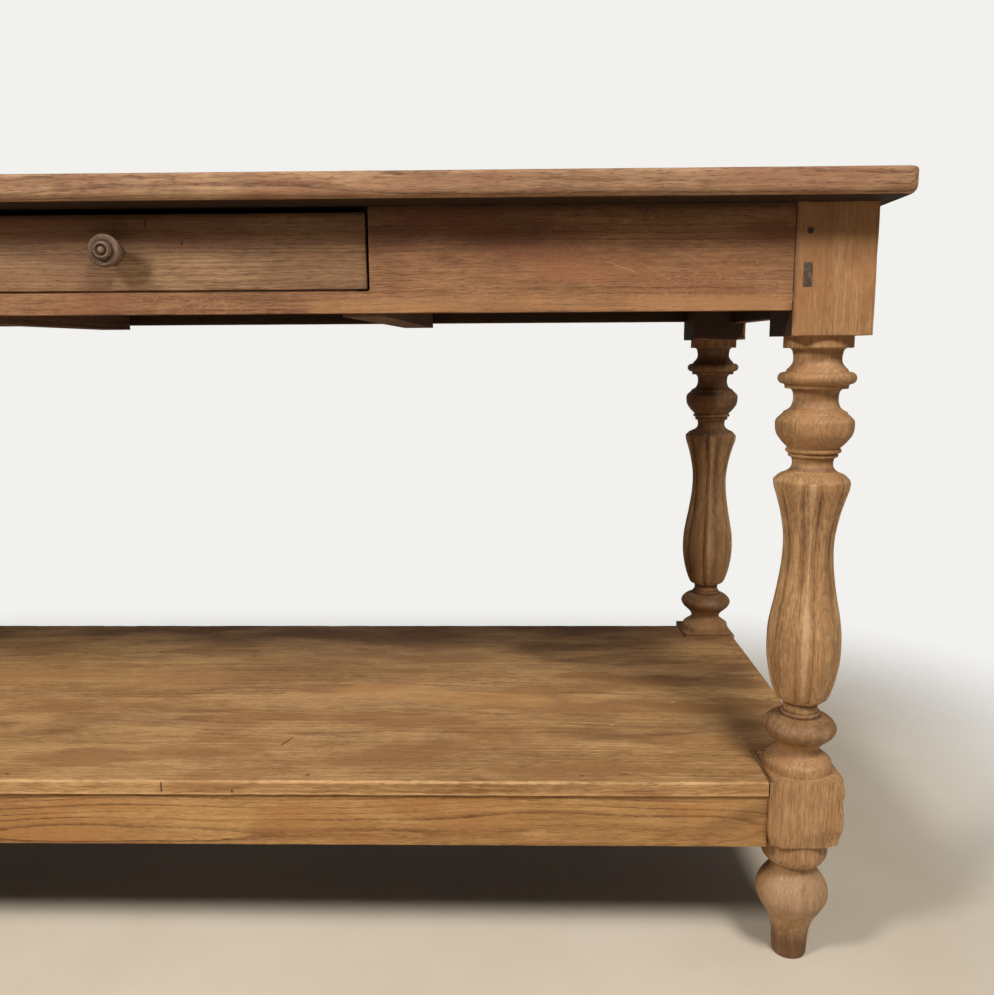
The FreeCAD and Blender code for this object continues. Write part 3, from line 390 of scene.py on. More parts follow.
def wood(name, pale, deep, line, blush, *, grain=(1, 0, 0), into=(0, 0, 1), middle=(0, 0, 0),
         stretch_of_tree=0.0, heart_side=0.0, heart_depth=0.06, ring_width=0.0035, wander=0.03,
         line_strength=0.55, fleck_strength=0.0, pore_strength=0.6, worn=(190, 150, 108),
         grime=(66, 43, 28), marks=(), stains_and_shade=(), roughness=0.0, gloss=0.22):
    """A waxed wood whose rings, pores and wear follow the piece."""
    material, tree, shader = new_material(name)
    where = shade(tree, "TexCoord").outputs["Object"]
    centred = shade(tree, "Mapping", {"Vector": where, "Location": -Vector(middle)}).outputs["Vector"]
    laid = shade(tree, "Mapping", {"Vector": centred, "Location": (stretch_of_tree, 0, 0),
                                   "Rotation": grain_turn(grain, into)}).outputs["Vector"]
    masks = use(tree, growth, {"Place": laid, "Heart Side": heart_side, "Heart Depth": heart_depth,
                               "Ring Width": ring_width, "Wander": wander})
    painted = use(tree, colouring, {
        **{mask.name: mask for mask in masks}, "Pale": tint(*pale), "Deep": tint(*deep),
        "Line Colour": tint(*line), "Blush": tint(*blush), "Line Strength": line_strength,
        "Fleck Strength": fleck_strength, "Pore Strength": pore_strength})
    wear_mask = shade(tree, "Attribute", attribute_name="wear").outputs["Fac"]
    grime_and_shade_mask = shade(tree, "Attribute", attribute_name="grime").outputs["Fac"]
    handled_and_shaded = use(tree, handling_and_shade, {"Colour": painted["Colour"], "Place": laid, "Wear": wear_mask,
                                   "Grime And Shade": grime_and_shade_mask, "Worn Colour": tint(*worn),
                                   "Grime And Shade Colour": tint(*grime)})
    colour, height = handled_and_shaded["Colour"], painted["Height"]
    for kind, listed in (("soft_patch", stains_and_shade), ("mark", marks)):
        for start, end, half_width, spot_colour, strength in listed:
            mask = use(tree, scratch, {"Place": where, "From": start, "To": end,
                                       "Half Width": half_width})["Mask"]
            if kind == "mark":
                height = calc("SUBTRACT", height, mask)
            else:
                # Soft patches hold real stains and patches of painted shade and shadow alike; they are kept
                # off faces already painted dark.
                uneven = smooth_step(masks["Clouds"], 0.36, 0.60, 0.25, 1.0)
                mask = times(mask, times(uneven, smooth_step(grime_and_shade_mask, 0.6, 1.0, 1.0, 0.0)))
            colour = blend(times(mask, strength), colour, tint(*spot_colour))
    feed(shader.inputs["Base Color"], colour)
    shine = times_plus(handled_and_shaded["Rubbed"], -0.06, painted["Shine"])
    feed(shader.inputs["Roughness"], calc("ADD", shine, roughness))
    relief = shade(tree, "Bump", {"Height": height, "Strength": 0.6, "Distance": pore_relief})
    feed(shader.inputs["Normal"], relief.outputs["Normal"])
    feed(shader.inputs["Specular IOR Level"], gloss)
    return material


def on_face(axis, level, rows):
    """Marks, stains and patches of painted shade on a flat face, from rows of two places on it, half a
    width, colour, strength.
    """
    def place_of(first, second):
        place = [first, second]
        place.insert(axis, level)
        return tuple(place)

    return [(place_of(*row[:2]), place_of(*row[2:4]), *row[4:]) for row in rows]


print("pores are", pore_relief * 1000, "mm deep")

# %% [markdown]
# ## Floor and backdrop
# The table stands on a plain pale floor. A little way out from the table the floor melts into the
# white of the room, so that no horizon cuts the picture behind the legs.

# %% Floor and world
floor_half = 14.0
fade_start = 0.10
fade_length = 0.75


def object_from(bm, name, material):
    """Turns a finished bmesh into an object of the scene."""
    mesh = bpy.data.meshes.new(name)
    bm.to_mesh(mesh)
    bm.free()
    mesh.materials.append(material)
    made = bpy.data.objects.new(name, mesh)
    bpy.context.scene.collection.objects.link(made)
    return made


floor_material, floor_tree, floor_shader = new_material("pale_floor")
floor_place = shade(floor_tree, "TexCoord").outputs["Object"]
floor_cloud = smooth_step(stretched_noise(floor_place, (2.5, 2.5, 2.5), 5.0, 0.6), 0.3, 0.7)
feed(floor_shader.inputs["Base Color"], blend(floor_cloud, tint(214, 200, 178), tint(224, 211, 191)))
feed(floor_shader.inputs["Roughness"], 0.8)
beyond = vector_calc("SUBTRACT", vector_calc("ABSOLUTE", floor_place), (cad_high.x, cad_high.y, 0))
beyond = vector_calc("LENGTH", vector_calc("MAXIMUM", beyond, (0, 0, 0)))
melted = smooth_step(beyond, fade_start, fade_start + fade_length)
seen_directly = shade(floor_tree, "LightPath").outputs["Is Camera Ray"]
floor_mix = shade(floor_tree, "MixShader", {
    "Fac": times(melted, seen_directly), 1: floor_shader.outputs["BSDF"],
    2: shade(floor_tree, "BsdfTransparent").outputs["BSDF"]})
feed(floor_tree.nodes["Material Output"].inputs["Surface"], floor_mix.outputs["Shader"])
floor_mesh = bmesh.new()
bmesh.ops.create_grid(floor_mesh, x_segments=1, y_segments=1, size=floor_half)
floor = object_from(floor_mesh, "floor", floor_material)

world = bpy.data.worlds.new("pale_room")
world.use_nodes = True
seen_by_camera = shade(world.node_tree, "LightPath").outputs["Is Camera Ray"]
room = blend(seen_by_camera, (0.085, 0.085, 0.088, 1.0), tint(242, 241, 238))
feed(world.node_tree.nodes["Background"].inputs["Color"], room)
bpy.context.scene.world = world
print("floor", 2 * floor_half, "m wide, clear from", fade_start + fade_length, "m beyond the table")

# %% [markdown]
# ## Working on a copy of a board
# A solid from the frame is exact but sharp. A copy of it, merged and with its flat faces put back
# together, keeps every tenon, groove and hole, and can be aged: its long arrises are bevelled,
# the board is cut into short stretches, and the bevels are pushed in a little here and there.
# Only the arrises move, and only inwards, so a board still fits its neighbours exactly.

# %% Mesh helpers
same_point = 0.000002
same_plane = 0.000001
skin = 0.0004
flat_angle = math.radians(0.5)
sharp_angle = math.radians(40)
shading_angle = math.radians(38)


def make_flats_whole(bm):
    """Joins the faces that lie in one plane."""
    bmesh.ops.dissolve_limit(bm, angle_limit=flat_angle, verts=bm.verts, edges=bm.edges)


def merged_copy(node):
    """The mesh of a frame node with its loose triangles joined and its flats made whole."""
    bm = bmesh.new()
    bm.from_mesh(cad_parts[node].data)
    bmesh.ops.remove_doubles(bm, verts=bm.verts, dist=same_point)
    make_flats_whole(bm)
    return bm


def slice_across(bm, axis, places, side=1, **ways):
    """Cuts a mesh by planes, which adds points to shape and, unless told so, removes nothing."""
    normal = Vector((0, 0, 0))
    normal[axis] = 1
    for place_on_axis in places:
        bmesh.ops.bisect_plane(bm, geom=bm.verts[:] + bm.edges[:] + bm.faces[:], dist=same_plane,
                               plane_co=normal * place_on_axis, plane_no=normal * side, **ways)


def even_places(low, high, pitch):
    """Places between two ends, at about the pitch."""
    count = max(1, round((high - low) / pitch))
    return [low + (high - low) * step / count for step in range(1, count)]


def ripple(point, size, seed):
    """Smooth noise from -1 to 1 with features of a given size."""
    return noise.noise(Vector(point) / size + Vector((seed * 7.31, seed * 3.17, seed * 5.73)))


def arris_distance(point, low, high):
    """How far a point on a block lies from the block's nearest arris."""
    gaps = sorted(min(abs(point[axis] - low[axis]), abs(high[axis] - point[axis])) for axis in range(3))
    return gaps[1]


def soften(bm, width, low, high, segments=2, shortest=0.012):
    """Bevels the long outer arrises that lie within a block."""
    sharp = []
    for edge in bm.edges:
        if not edge.is_convex or edge.calc_length() < shortest:
            continue
        middle = (edge.verts[0].co + edge.verts[1].co) / 2
        inside = all(low[axis] - 0.0001 < middle[axis] < high[axis] + 0.0001 for axis in range(3))
        if inside and edge.calc_face_angle(0) > sharp_angle:
            sharp.append(edge)
    bmesh.ops.bevel(bm, geom=sharp, offset=width, offset_type="OFFSET", segments=segments, profile=0.5,
                    affect="EDGES", material=-1, clamp_overlap=True)


def weather(bm, low, high, reach, loss, seed, still_axis=None):
    """Rubs the arrises of a block away by uneven amounts, always inwards."""
    bm.normal_update()
    for vert in bm.verts:
        gap = arris_distance(vert.co, low, high)
        if gap > reach:
            continue
        uneven = 0.15 + ripple(vert.co, 0.035, seed) + 0.5 * ripple(vert.co, 0.009, seed + 1)
        step = vert.normal * (-loss * max(0.0, uneven) * (1 - gap / reach))
        if still_axis is not None:
            step[still_axis] = 0
        vert.co += step


def wear_layers(bm):
    """The two numbers that every point of an aged piece holds."""
    return bm.verts.layers.float.new("wear"), bm.verts.layers.float.new("grime")


def add_piece(name, bm, material, body, replaced):
    """Turns a finished bmesh into a piece that rides on a body and stands for frame nodes."""
    bm.normal_update()
    for face in bm.faces:
        face.smooth = True
    for edge in bm.edges:
        edge.smooth = len(edge.link_faces) == 2 and edge.calc_face_angle(0) < shading_angle
    piece = object_from(bm, name, material)
    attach(piece, body)
    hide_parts(*replaced)
    print(name, len(piece.data.polygons), "faces")
    return piece


print("flat within", round(math.degrees(flat_angle), 1), "degrees, shaded smooth up to",
      round(math.degrees(shading_angle)), "degrees")

# %% [markdown]
# ## Boards
# All the boards are made by one function: the top, the shelf, the aprons, the rails and the drawer
# front. What differs is the wood, how much their arrises have lost and which way the board runs.

# %% Boards
support_gap = 0.006


def aged_copy(node, low, high, *, bevel, round_reach=None, loss=0.0008, along=0, seed=1,
              wear_strength=0.55, worn_faces=None, grime_top=0.0, dark_faces=None):
    """A softened and worn copy of a board from the frame, as a bmesh. A band along its top can be painted
    darker as shade, and its dark faces are darkened.
    """
    bm = merged_copy(node)
    soften(bm, bevel, low, high)
    for axis in range(3):
        if axis != along:
            slice_across(bm, axis, [low[axis] + support_gap, high[axis] - support_gap])
    if grime_top:
        slice_across(bm, 2, [high.z - grime_top])
    slice_across(bm, along, even_places(low[along], high[along], 0.008))
    weather(bm, low, high, round_reach or bevel * 1.1, loss, seed, along)
    wear, grime = wear_layers(bm)
    for vert in bm.verts:
        if not worn_faces or worn_faces(vert.co):
            vert[wear] = wear_strength * max(0.0, 1 - arris_distance(vert.co, low, high) / support_gap)
        # The band under the overhanging top is painted darker as shade, fading downwards.
        if grime_top:
            vert[grime] = max(0.0, 1 - (high.z - vert.co.z) / grime_top)
        # Dark faces take painted shade, apart from the top's ends, which take end-grain dirt.
        dirt_and_shade_level = float(dark_faces(vert.co)) if dark_faces else 0.0
        if dirt_and_shade_level:
            vert[grime] = dirt_and_shade_level
            vert[wear] = 0.0
    return bm


def board(node, palette, look, age, body="frame", along=0, into=(0, 0, 1), shoulders=None):
    """Makes a board's wood and ages its copy. Beyond the shoulders, its tenons stay sharp."""
    low, high = map(Vector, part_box(node))
    grain = tuple(float(axis == along) for axis in range(3))
    material = wood("oak_" + node, *palette,
                    **{"grain": grain, "into": into, "middle": (low + high) / 2, **look})
    if shoulders:
        low[along], high[along] = -shoulders, shoulders
    add_piece(node + "_aged", aged_copy(node, low, high, along=along, **age), material, body, [node])


print("support lines from", support_gap * 1000, "mm inside each arris")

# %% [markdown]
# ## Sizes taken from the frame
# The frame gives the corners of every piece, so the places below follow it. The leg's blocks are
# the only sizes that the corners don't give, because the turned rings stand out past them.

# %% Sizes
leg_low, leg_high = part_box("leg_front_right")
leg_x = (leg_low.x + leg_high.x) / 2
leg_y = -(leg_low.y + leg_high.y) / 2
turning_radius = (leg_high.x - leg_low.x) / 2
block_half = 0.040
inner_x = leg_x - block_half
inner_y = leg_y - block_half
top_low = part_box("top_board_front")[0]
top_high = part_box("top_board_back")[1]
shelf_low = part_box("shelf_board_front")[0]
shelf_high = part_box("shelf_board_back")[1]
upper_block_bottom = 0.697
lower_block_top = 0.226
lower_block_bottom = 0.146
print("leg axis at", round(leg_x, 4), round(leg_y, 4), "turned to", round(turning_radius, 4))

# %% [markdown]
# ## The top
# Four planks glued edge to edge. Their shared arrises are only broken, while the outer ones are
# rubbed by a century of bolts of cloth. The ends show end grain, which the ring pattern draws by
# itself because it is a pattern in space and not a picture on the face. End grain soaks up dirt.

# %% Top boards
end_grain_dirt = 0.65
top_oak = ((186, 148, 112), (128, 92, 66), (84, 52, 37), (146, 102, 74))


def top_is_worn(co):
    """True near the outer arrises of the whole top, above its underside."""
    return arris_distance(co, top_low, top_high) < support_gap and co.z > 0.835


def top_shade_and_end_dirt(co):
    """Painted shade all over the underside, and end-grain dirt on the ends."""
    return co.z < top_low.z + 0.0006 or end_grain_dirt * (abs(co.x) > top_high.x - skin)


for count, word in enumerate(["front", "mid_front", "mid_back", "back"]):
    board("top_board_" + word, top_oak,
          dict(stretch_of_tree=3.3 * count + 0.7, heart_side=0.05 - 0.035 * count,
               heart_depth=0.075 + 0.02 * (count % 2), ring_width=0.0042, wander=0.05,
               line_strength=0.6, pore_strength=0.4, worn=(198, 160, 124), grime=(58, 38, 26)),
          dict(bevel=0.0004, round_reach=0.0035, seed=count + 3, worn_faces=top_is_worn,
               dark_faces=top_shade_and_end_dirt))

# %% [markdown]
# ## Aprons and rails
# The front apron is one wide board with a notch for the drawer. It is redder than the rest and
# catches the light in short flecks, so it was sawn through the rays. The lower rails show long
# dark ring lines, which come from a board sawn well away from the heart.

# %% Aprons
apron_face = -0.2915
apron_oak = ((162, 118, 82), (108, 72, 47), (70, 42, 29), (136, 88, 59))
apron_marks = on_face(1, apron_face, [
    (0.4876, 0.7705, 0.5172, 0.7598, 0.0006, (190, 144, 106), 0.5),
    (0.5209, 0.7693, 0.5557, 0.7499, 0.0006, (180, 132, 94), 0.35),
])
# Patches on the apron's face. Rows one, two and five are painted shade from the overhanging top; row three
# is a paler band along the bottom edge and row four a mid-tone band.
apron_shade_and_tints = on_face(1, apron_face, [
    (-0.30, 0.806, 0.41, 0.803, 0.034, (84, 52, 41), 0.45),
    (0.52, 0.800, 0.66, 0.798, 0.020, (110, 68, 44), 0.35),
    (0.20, 0.7275, 0.66, 0.7275, 0.014, (196, 146, 96), 0.40),
    (0.36, 0.765, 0.50, 0.768, 0.022, (160, 108, 72), 0.30),
    (0.34, 0.788, 0.66, 0.786, 0.026, (96, 60, 40), 0.40),
])


def leg_to_leg(node, slot, palette, side, along, seed, look, dark_inside=True, **age):
    """An apron or rail between two legs, whose inner face is painted near black as shade unless told not to.
    """
    low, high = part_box(node)
    across = 1 - along
    inside = min(abs(low[across]), abs(high[across]))
    into = [0, 0, 0]
    into[across] = -side
    if dark_inside:
        age["dark_faces"] = lambda co: side * co[across] < inside + skin
    board(node, palette, {"into": into, **look}, {"seed": seed, **age}, along=along,
          shoulders=(inner_x, inner_y)[along])


# The front apron's top 20 mm is also painted darker, as shade under the overhanging top.
leg_to_leg("front_apron", "oak_apron", apron_oak, -1, 0, 11, dict(
    middle=(0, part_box("front_apron")[0].y, 0.773), heart_side=0.08, heart_depth=0.05,
    ring_width=0.0028, line_strength=0.35, fleck_strength=0.35, pore_strength=0.3,
    stretch_of_tree=1.3, worn=(186, 136, 92), marks=apron_marks, stains_and_shade=apron_shade_and_tints),
    bevel=0.0008, grime_top=0.02)
plain_apron = dict(ring_width=0.0036, line_strength=0.5)
leg_to_leg("back_apron", "oak_apron", apron_oak, 1, 0, 12, dict(
    plain_apron, into=(0, 1, 0), heart_side=-0.05, heart_depth=0.07, stretch_of_tree=5.1), bevel=0.0008)
for seed, side, word in ((13, -1, "left"), (14, 1, "right")):
    leg_to_leg(word + "_apron", "oak_apron", apron_oak, side, 1, seed, dict(
        plain_apron, heart_side=0.03, heart_depth=0.055, stretch_of_tree=1.7 * seed), bevel=0.0008)

# %% Lower rails
rail_oak = ((194, 150, 95), (152, 106, 61), (96, 58, 32), (172, 120, 70))
plain_rail = dict(ring_width=0.0046, wander=0.055)
# The patch on the front rail's right end is a painted shadow.
for seed, side, word in ((21, -1, "front"), (22, 1, "back")):
    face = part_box("lower_rail_" + word)[0 if side < 0 else 1].y
    leg_to_leg("lower_rail_" + word, "oak_rail", rail_oak, side, 0, seed, dict(
        plain_rail, heart_side=0.012, heart_depth=0.040, line_strength=0.85, pore_strength=0.3,
        stretch_of_tree=2.4 * seed + 0.55, worn=(206, 160, 104),
        stains_and_shade=on_face(1, face, [(0.597, 0.156, 0.668, 0.190, 0.016, (96, 69, 45), 0.65)])),
        bevel=0.0010)
for seed, side, word in ((23, -1, "left"), (24, 1, "right")):
    leg_to_leg("lower_rail_" + word, "oak_rail", rail_oak, side, 1, seed, dict(
        plain_rail, heart_side=-0.01, heart_depth=0.045, line_strength=0.8,
        stretch_of_tree=2.4 * seed), dark_inside=False, bevel=0.0010)

# %% [markdown]
# ## Shelf
# Three boards, notched round the leg blocks and nailed down. The front edge is rounded by feet and baskets,
# and its upper arris is the palest line on the table: rubbed pale, with a painted highlight added to the
# wear. The underside is painted dark as shade, and some patches on the top are painted shade and shadow.

# %% Shelf boards
shelf_top = 0.223
shelf_marks = on_face(2, shelf_top, [
    (0.1195, -0.1985, 0.1275, -0.1775, 0.0013, (60, 34, 20), 0.95),
    (0.6035, -0.0627, 0.6082, -0.0627, 0.0013, (228, 196, 156), 0.9),
    (0.5155, -0.1380, 0.5195, -0.1380, 0.0012, (222, 188, 148), 0.8),
    (0.6650, -0.1726, 0.6700, -0.1726, 0.0012, (226, 192, 150), 0.8),
    (0.3850, 0.0530, 0.3960, 0.0470, 0.0011, (206, 164, 118), 0.6),
    (0.4300, 0.0280, 0.4390, 0.0230, 0.0010, (206, 164, 118), 0.6),
    (0.5125, -0.2706, 0.5210, -0.2706, 0.0016, (66, 42, 28), 0.8),
    (0.2077, -0.2224, 0.2077, -0.2224, 0.0014, (60, 40, 26), 0.9),
    (0.2418, -0.2404, 0.2418, -0.2404, 0.0014, (60, 40, 26), 0.9),
]) + on_face(1, -0.2900, [
    (0.0101, 0.2220, 0.0101, 0.2105, 0.0011, (48, 28, 16), 0.95),
    (0.0878, 0.2125, 0.0878, 0.2095, 0.0011, (48, 28, 16), 0.95),
])
# The second row is a painted shadow of the top along the shelf's back, and the third is painted shade beside
# the front right leg. The others are stains and paler patches.
shelf_stains_and_shade = on_face(2, shelf_top, [
    (0.46, 0.160, 0.66, 0.060, 0.115, (86, 57, 36), 0.62),
    (-0.60, 0.250, 0.66, 0.250, 0.120, (84, 54, 34), 0.50),
    (0.70, 0.10, 0.70, -0.20, 0.055, (110, 79, 52), 0.45),
    (-0.16, -0.120, -0.02, -0.113, 0.050, (112, 78, 50), 0.35),
    (-0.30, -0.190, -0.08, -0.172, 0.032, (108, 78, 52), 0.32),
    (0.14, -0.179, 0.30, -0.189, 0.034, (116, 82, 54), 0.28),
    (0.45, -0.165, 0.62, -0.150, 0.022, (112, 80, 52), 0.35),
    (0.18, -0.025, 0.42, -0.055, 0.040, (206, 152, 92), 0.40),
    (-0.40, 0.05, -0.05, 0.02, 0.060, (196, 148, 92), 0.30),
])
shelf_oak = ((203, 159, 105), (138, 99, 59), (92, 59, 36), (154, 109, 67))


def shelf_edge_worn_and_highlit(co):
    """True along the front edge."""
    return co.y < shelf_low.y + support_gap


def shelf_is_dark(co):
    """True on the underside behind the front arris, which is painted dark as shade."""
    return co.z < shelf_low.z + 0.0006 and co.y > shelf_low.y + 0.005


# The front edge's wear is at full strength, partly as a painted highlight.
for count, word in enumerate(["front", "middle", "back"]):
    board("shelf_board_" + word, shelf_oak,
          dict(stretch_of_tree=2.9 * count + 8.2, heart_side=0.03 - 0.04 * count,
               heart_depth=0.045 + 0.02 * count, ring_width=0.0040, wander=0.06, line_strength=0.32,
               pore_strength=0.3, worn=(222, 178, 124), marks=shelf_marks, stains_and_shade=shelf_stains_and_shade),
          dict(bevel=0.0006, round_reach=0.003, seed=count + 31, wear_strength=1.0,
               worn_faces=shelf_edge_worn_and_highlit, dark_faces=shelf_is_dark))

# %% [markdown]
# ## Drawer
# The front is a single board with its figure along it. The sides, back and bottom are plainer
# oak that only shows when the drawer is pulled, so they keep their exact shape from the frame.

# %% Drawer front
drawer_oak = ((162, 126, 91), (110, 79, 54), (74, 48, 32), (132, 95, 67))
drawer_marks = on_face(1, apron_face, [
    (0.0693, 0.7925, 0.0693, 0.7900, 0.0012, (48, 30, 20), 0.8),
    (0.0338, 0.8130, 0.0338, 0.8070, 0.0012, (44, 28, 20), 0.7),
    (0.1549, 0.7518, 0.1549, 0.7518, 0.0013, (60, 38, 24), 0.8),
])
# Painted shadow of the overhanging top across the drawer front's upper part; its top 12 mm is also painted
# darker as shade.
drawer_painted_shade = on_face(1, apron_face, [(-0.25, 0.807, 0.25, 0.811, 0.034, (102, 62, 42), 0.5)])
board("drawer_front", drawer_oak,
      dict(heart_side=0.05, heart_depth=0.05, ring_width=0.0024, line_strength=0.45,
           pore_strength=0.35, stretch_of_tree=12.4, marks=drawer_marks, stains_and_shade=drawer_painted_shade),
      dict(bevel=0.0009, loss=0.0006, seed=41, wear_strength=0.4, grime_top=0.012),
      body="drawer", into=(0, 1, 0))

# %% Boards that keep their shape
inner_oak = ((150, 116, 82), (120, 90, 62), (80, 56, 38), (132, 98, 68))
dark_oak = ((122, 94, 74), (96, 71, 54), (62, 44, 33), (108, 82, 63))


def dress(node, material):
    """Gives a frame node its material and leaves its shape alone."""
    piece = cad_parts[node]
    piece.data.materials.clear()
    piece.data.materials.append(material)
    print(node, "in", material.name)


to_right, to_back, upward = (1, 0, 0), (0, 1, 0), (0, 0, 1)
plain_boards = {
    "drawer_side_left": (to_back, to_right),
    "drawer_side_right": (to_back, to_right),
    "drawer_back": (to_right, to_back),
    "drawer_bottom": (to_right, upward),
    "drawer_runner_left": (to_back, upward),
    "drawer_runner_right": (to_back, upward),
    "drawer_guide_left": (to_back, to_right),
    "drawer_guide_right": (to_back, to_right),
    "drawer_stops": (to_right, upward),
    "shelf_bearer": (to_back, upward),
    "top_buttons": (to_right, upward),
}
for count, (node, (grain, into)) in enumerate(plain_boards.items()):
    node_low, node_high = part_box(node)
    palette = dark_oak if "runner" in node or "button" in node else inner_oak
    dress(node, wood("oak_" + node, *palette, grain=grain, into=into,
                     middle=(node_low + node_high) / 2, stretch_of_tree=1.9 * count + 20,
                     heart_side=0.02, heart_depth=0.05, ring_width=0.0038, line_strength=0.5,
                     roughness=0.15))

# %% [markdown]
# ## Turned legs
# A turning is an outline spun about its axis. The outline is written as shares of the turned
# length and of the greatest radius: straight fillets, round rings as arcs through three points,
# and the long swelling stretches as smooth curves through a few points.

# %% Outline of the turning
turning_shares = [
    ("line", [(0, 0.877), (0.0245, 0.877), (0.0262, 0.860), (0.0262, 0.700)]),
    ("curve", [(0.031, 0.645), (0.040, 0.618), (0.048, 0.608), (0.057, 0.622), (0.065, 0.680),
               (0.072, 0.763)]),
    ("line", [(0.0768, 0.785), (0.0773, 0.845)]),
    ("arc", [(0.0905, 0.990), (0.1045, 0.835)]),
    ("line", [(0.1055, 0.810), (0.1138, 0.795), (0.1143, 0.655)]),
    ("curve", [(0.1215, 0.592), (0.132, 0.572), (0.142, 0.576), (0.154, 0.625), (0.160, 0.700),
               (0.1645, 0.800)]),
    ("line", [(0.169, 0.822)]),
    ("curve", [(0.173, 0.880), (0.183, 0.985), (0.195, 1.000), (0.208, 0.983), (0.217, 0.943),
               (0.225, 0.880), (0.2335, 0.803), (0.244, 0.680)]),
    ("line", [(0.2455, 0.665)]),
    ("arc", [(0.2505, 0.712), (0.256, 0.655)]),
    ("line", [(0.257, 0.610)]),
    ("arc", [(0.2615, 0.640), (0.266, 0.595)]),
    ("line", [(0.2672, 0.550)]),
    ("curve", [(0.274, 0.528), (0.2815, 0.522), (0.291, 0.560), (0.2985, 0.665), (0.304, 0.815)]),
    ("line", [(0.308, 0.880), (0.315, 0.960)]),
    ("arc", [(0.3175, 0.988), (0.3215, 0.998)]),
    ("curve", [(0.336, 0.975), (0.361, 0.883), (0.395, 0.778), (0.437, 0.693), (0.471, 0.670),
               (0.505, 0.688), (0.539, 0.730), (0.582, 0.810), (0.624, 0.905), (0.658, 0.967),
               (0.692, 0.990), (0.718, 0.988), (0.743, 0.962), (0.777, 0.892), (0.8025, 0.812),
               (0.8195, 0.740), (0.830, 0.665), (0.8335, 0.600)]),
    ("line", [(0.835, 0.520), (0.836, 0.465), (0.860, 0.465), (0.8605, 0.520), (0.868, 0.530),
              (0.8685, 0.500)]),
    ("curve", [(0.870, 0.600), (0.8725, 0.700), (0.879, 0.830), (0.886, 0.915), (0.893, 0.965),
               (0.900, 0.985), (0.908, 0.952), (0.9165, 0.890), (0.924, 0.795), (0.929, 0.735)]),
    ("line", [(0.932, 0.690)]),
    ("curve", [(0.940, 0.612), (0.950, 0.560), (0.959, 0.600), (0.966, 0.700), (0.973, 0.820)]),
    ("line", [(0.9775, 0.880), (0.985, 0.905), (1.0, 0.915)]),
]
foot_shares = [
    ("line", [(0, 0.915), (0.060, 0.915)]),
    ("curve", [(0.100, 0.915), (0.133, 0.905), (0.160, 0.872), (0.185, 0.815), (0.203, 0.735)]),
    ("line", [(0.208, 0.630), (0.262, 0.620)]),
    ("curve", [(0.285, 0.665), (0.342, 0.815), (0.394, 0.930), (0.430, 0.975), (0.470, 0.995),
               (0.510, 0.980), (0.567, 0.888), (0.622, 0.772), (0.677, 0.660), (0.735, 0.575),
               (0.800, 0.520), (0.860, 0.498), (0.935, 0.492)]),
    ("line", [(0.983, 0.485), (1.0, 0.455)]),
]


def smooth_run(points, step_length):
    """Points along a smooth curve through the given ones, without the first."""
    ends = [points[0] * 2 - points[1], *points, points[-1] * 2 - points[-2]]
    run = []
    for before, start, end, after in zip(ends, ends[1:], ends[2:], ends[3:]):
        steps = max(2, round((end - start).length / step_length))
        for step in range(1, steps + 1):
            u = step / steps
            run.append(0.5 * (2 * start + (end - before) * u
                              + (2 * before - 5 * start + 4 * end - after) * u ** 2
                              + (3 * start - before - 3 * end + after) * u ** 3))
    return run


def arc_run(start, through, end, steps):
    """Points along the circle through three places, without the first."""
    one, two = through - start, end - start
    area = 2 * (one.x * two.y - one.y * two.x)
    centre = start + Vector((
        two.y * one.length_squared - one.y * two.length_squared,
        one.x * two.length_squared - two.x * one.length_squared,
    )) / area
    first = math.atan2(start.y - centre.y, start.x - centre.x)
    last = math.atan2(end.y - centre.y, end.x - centre.x)
    sweep = (last - first) % math.tau if area > 0 else -((first - last) % math.tau)
    radius = (start - centre).length
    return [centre + Vector((math.cos(first + sweep * step / steps),
                             math.sin(first + sweep * step / steps))) * radius
            for step in range(1, steps + 1)]


def outline_points(shares, top, length, radius, step_length=0.0016):
    """The outline as (radius, height) points, from the top down."""
    def point(share):
        return Vector((radius * share[1], top - length * share[0]))

    run = [point(shares[0][1][0])]
    for kind, stretch in shares:
        points = [point(share) for share in stretch]
        if kind == "curve":
            run += smooth_run([run[-1]] + points, step_length)
        elif kind == "arc":
            run += arc_run(run[-1], points[0], points[1], 8)
        else:
            for end in points:
                steps = max(1, round((end - run[-1]).length / (step_length * 2)))
                start = run[-1]
                if (end - start).length > 0:
                    run += [start.lerp(end, step / steps) for step in range(1, steps + 1)]
    return run


spindle_length = upper_block_bottom - lower_block_top
spindle_outline = outline_points(turning_shares, upper_block_bottom, spindle_length, turning_radius)
foot_outline = outline_points(foot_shares, lower_block_bottom, lower_block_bottom, turning_radius)
print("outline points:", len(spindle_outline), len(foot_outline))

# %% [markdown]
# ## From outline to turned wood
# A lathe spins the work, so the mesh is spun too. Before the spin each outline point is marked: a
# point that stands out from its neighbours gets wear, and one that lies in a hollow gets grime.
# The flutes need points exactly where their edges are, so the steps round the leg are not even:
# they crowd near the two grooves of each pair and spread out between them.

# %% Spin and flutes
flute_pairs = 5
flute_turn = math.radians(-14.7)
groove_share = 14 / 72
groove_half_width = 0.0072
groove_depth = 0.0020
groove_start = 0.306
groove_ends = (0.829, 0.8345)
half_lobe_shares = [0, 0.045, 0.08, 0.105, 0.125, 0.143, 0.160, 0.177, groove_share, 0.212, 0.229, 0.246,
                    0.264, 0.284, 0.31, 0.345, 0.39, 0.445, 0.5]
lobe_shares = half_lobe_shares + [1 - share for share in reversed(half_lobe_shares[1:-1])]


def ramp(value, low, high):
    """Smoothly from 0 at low to 1 at high."""
    share = min(1.0, max(0.0, (value - low) / (high - low)))
    return share * share * (3 - 2 * share)


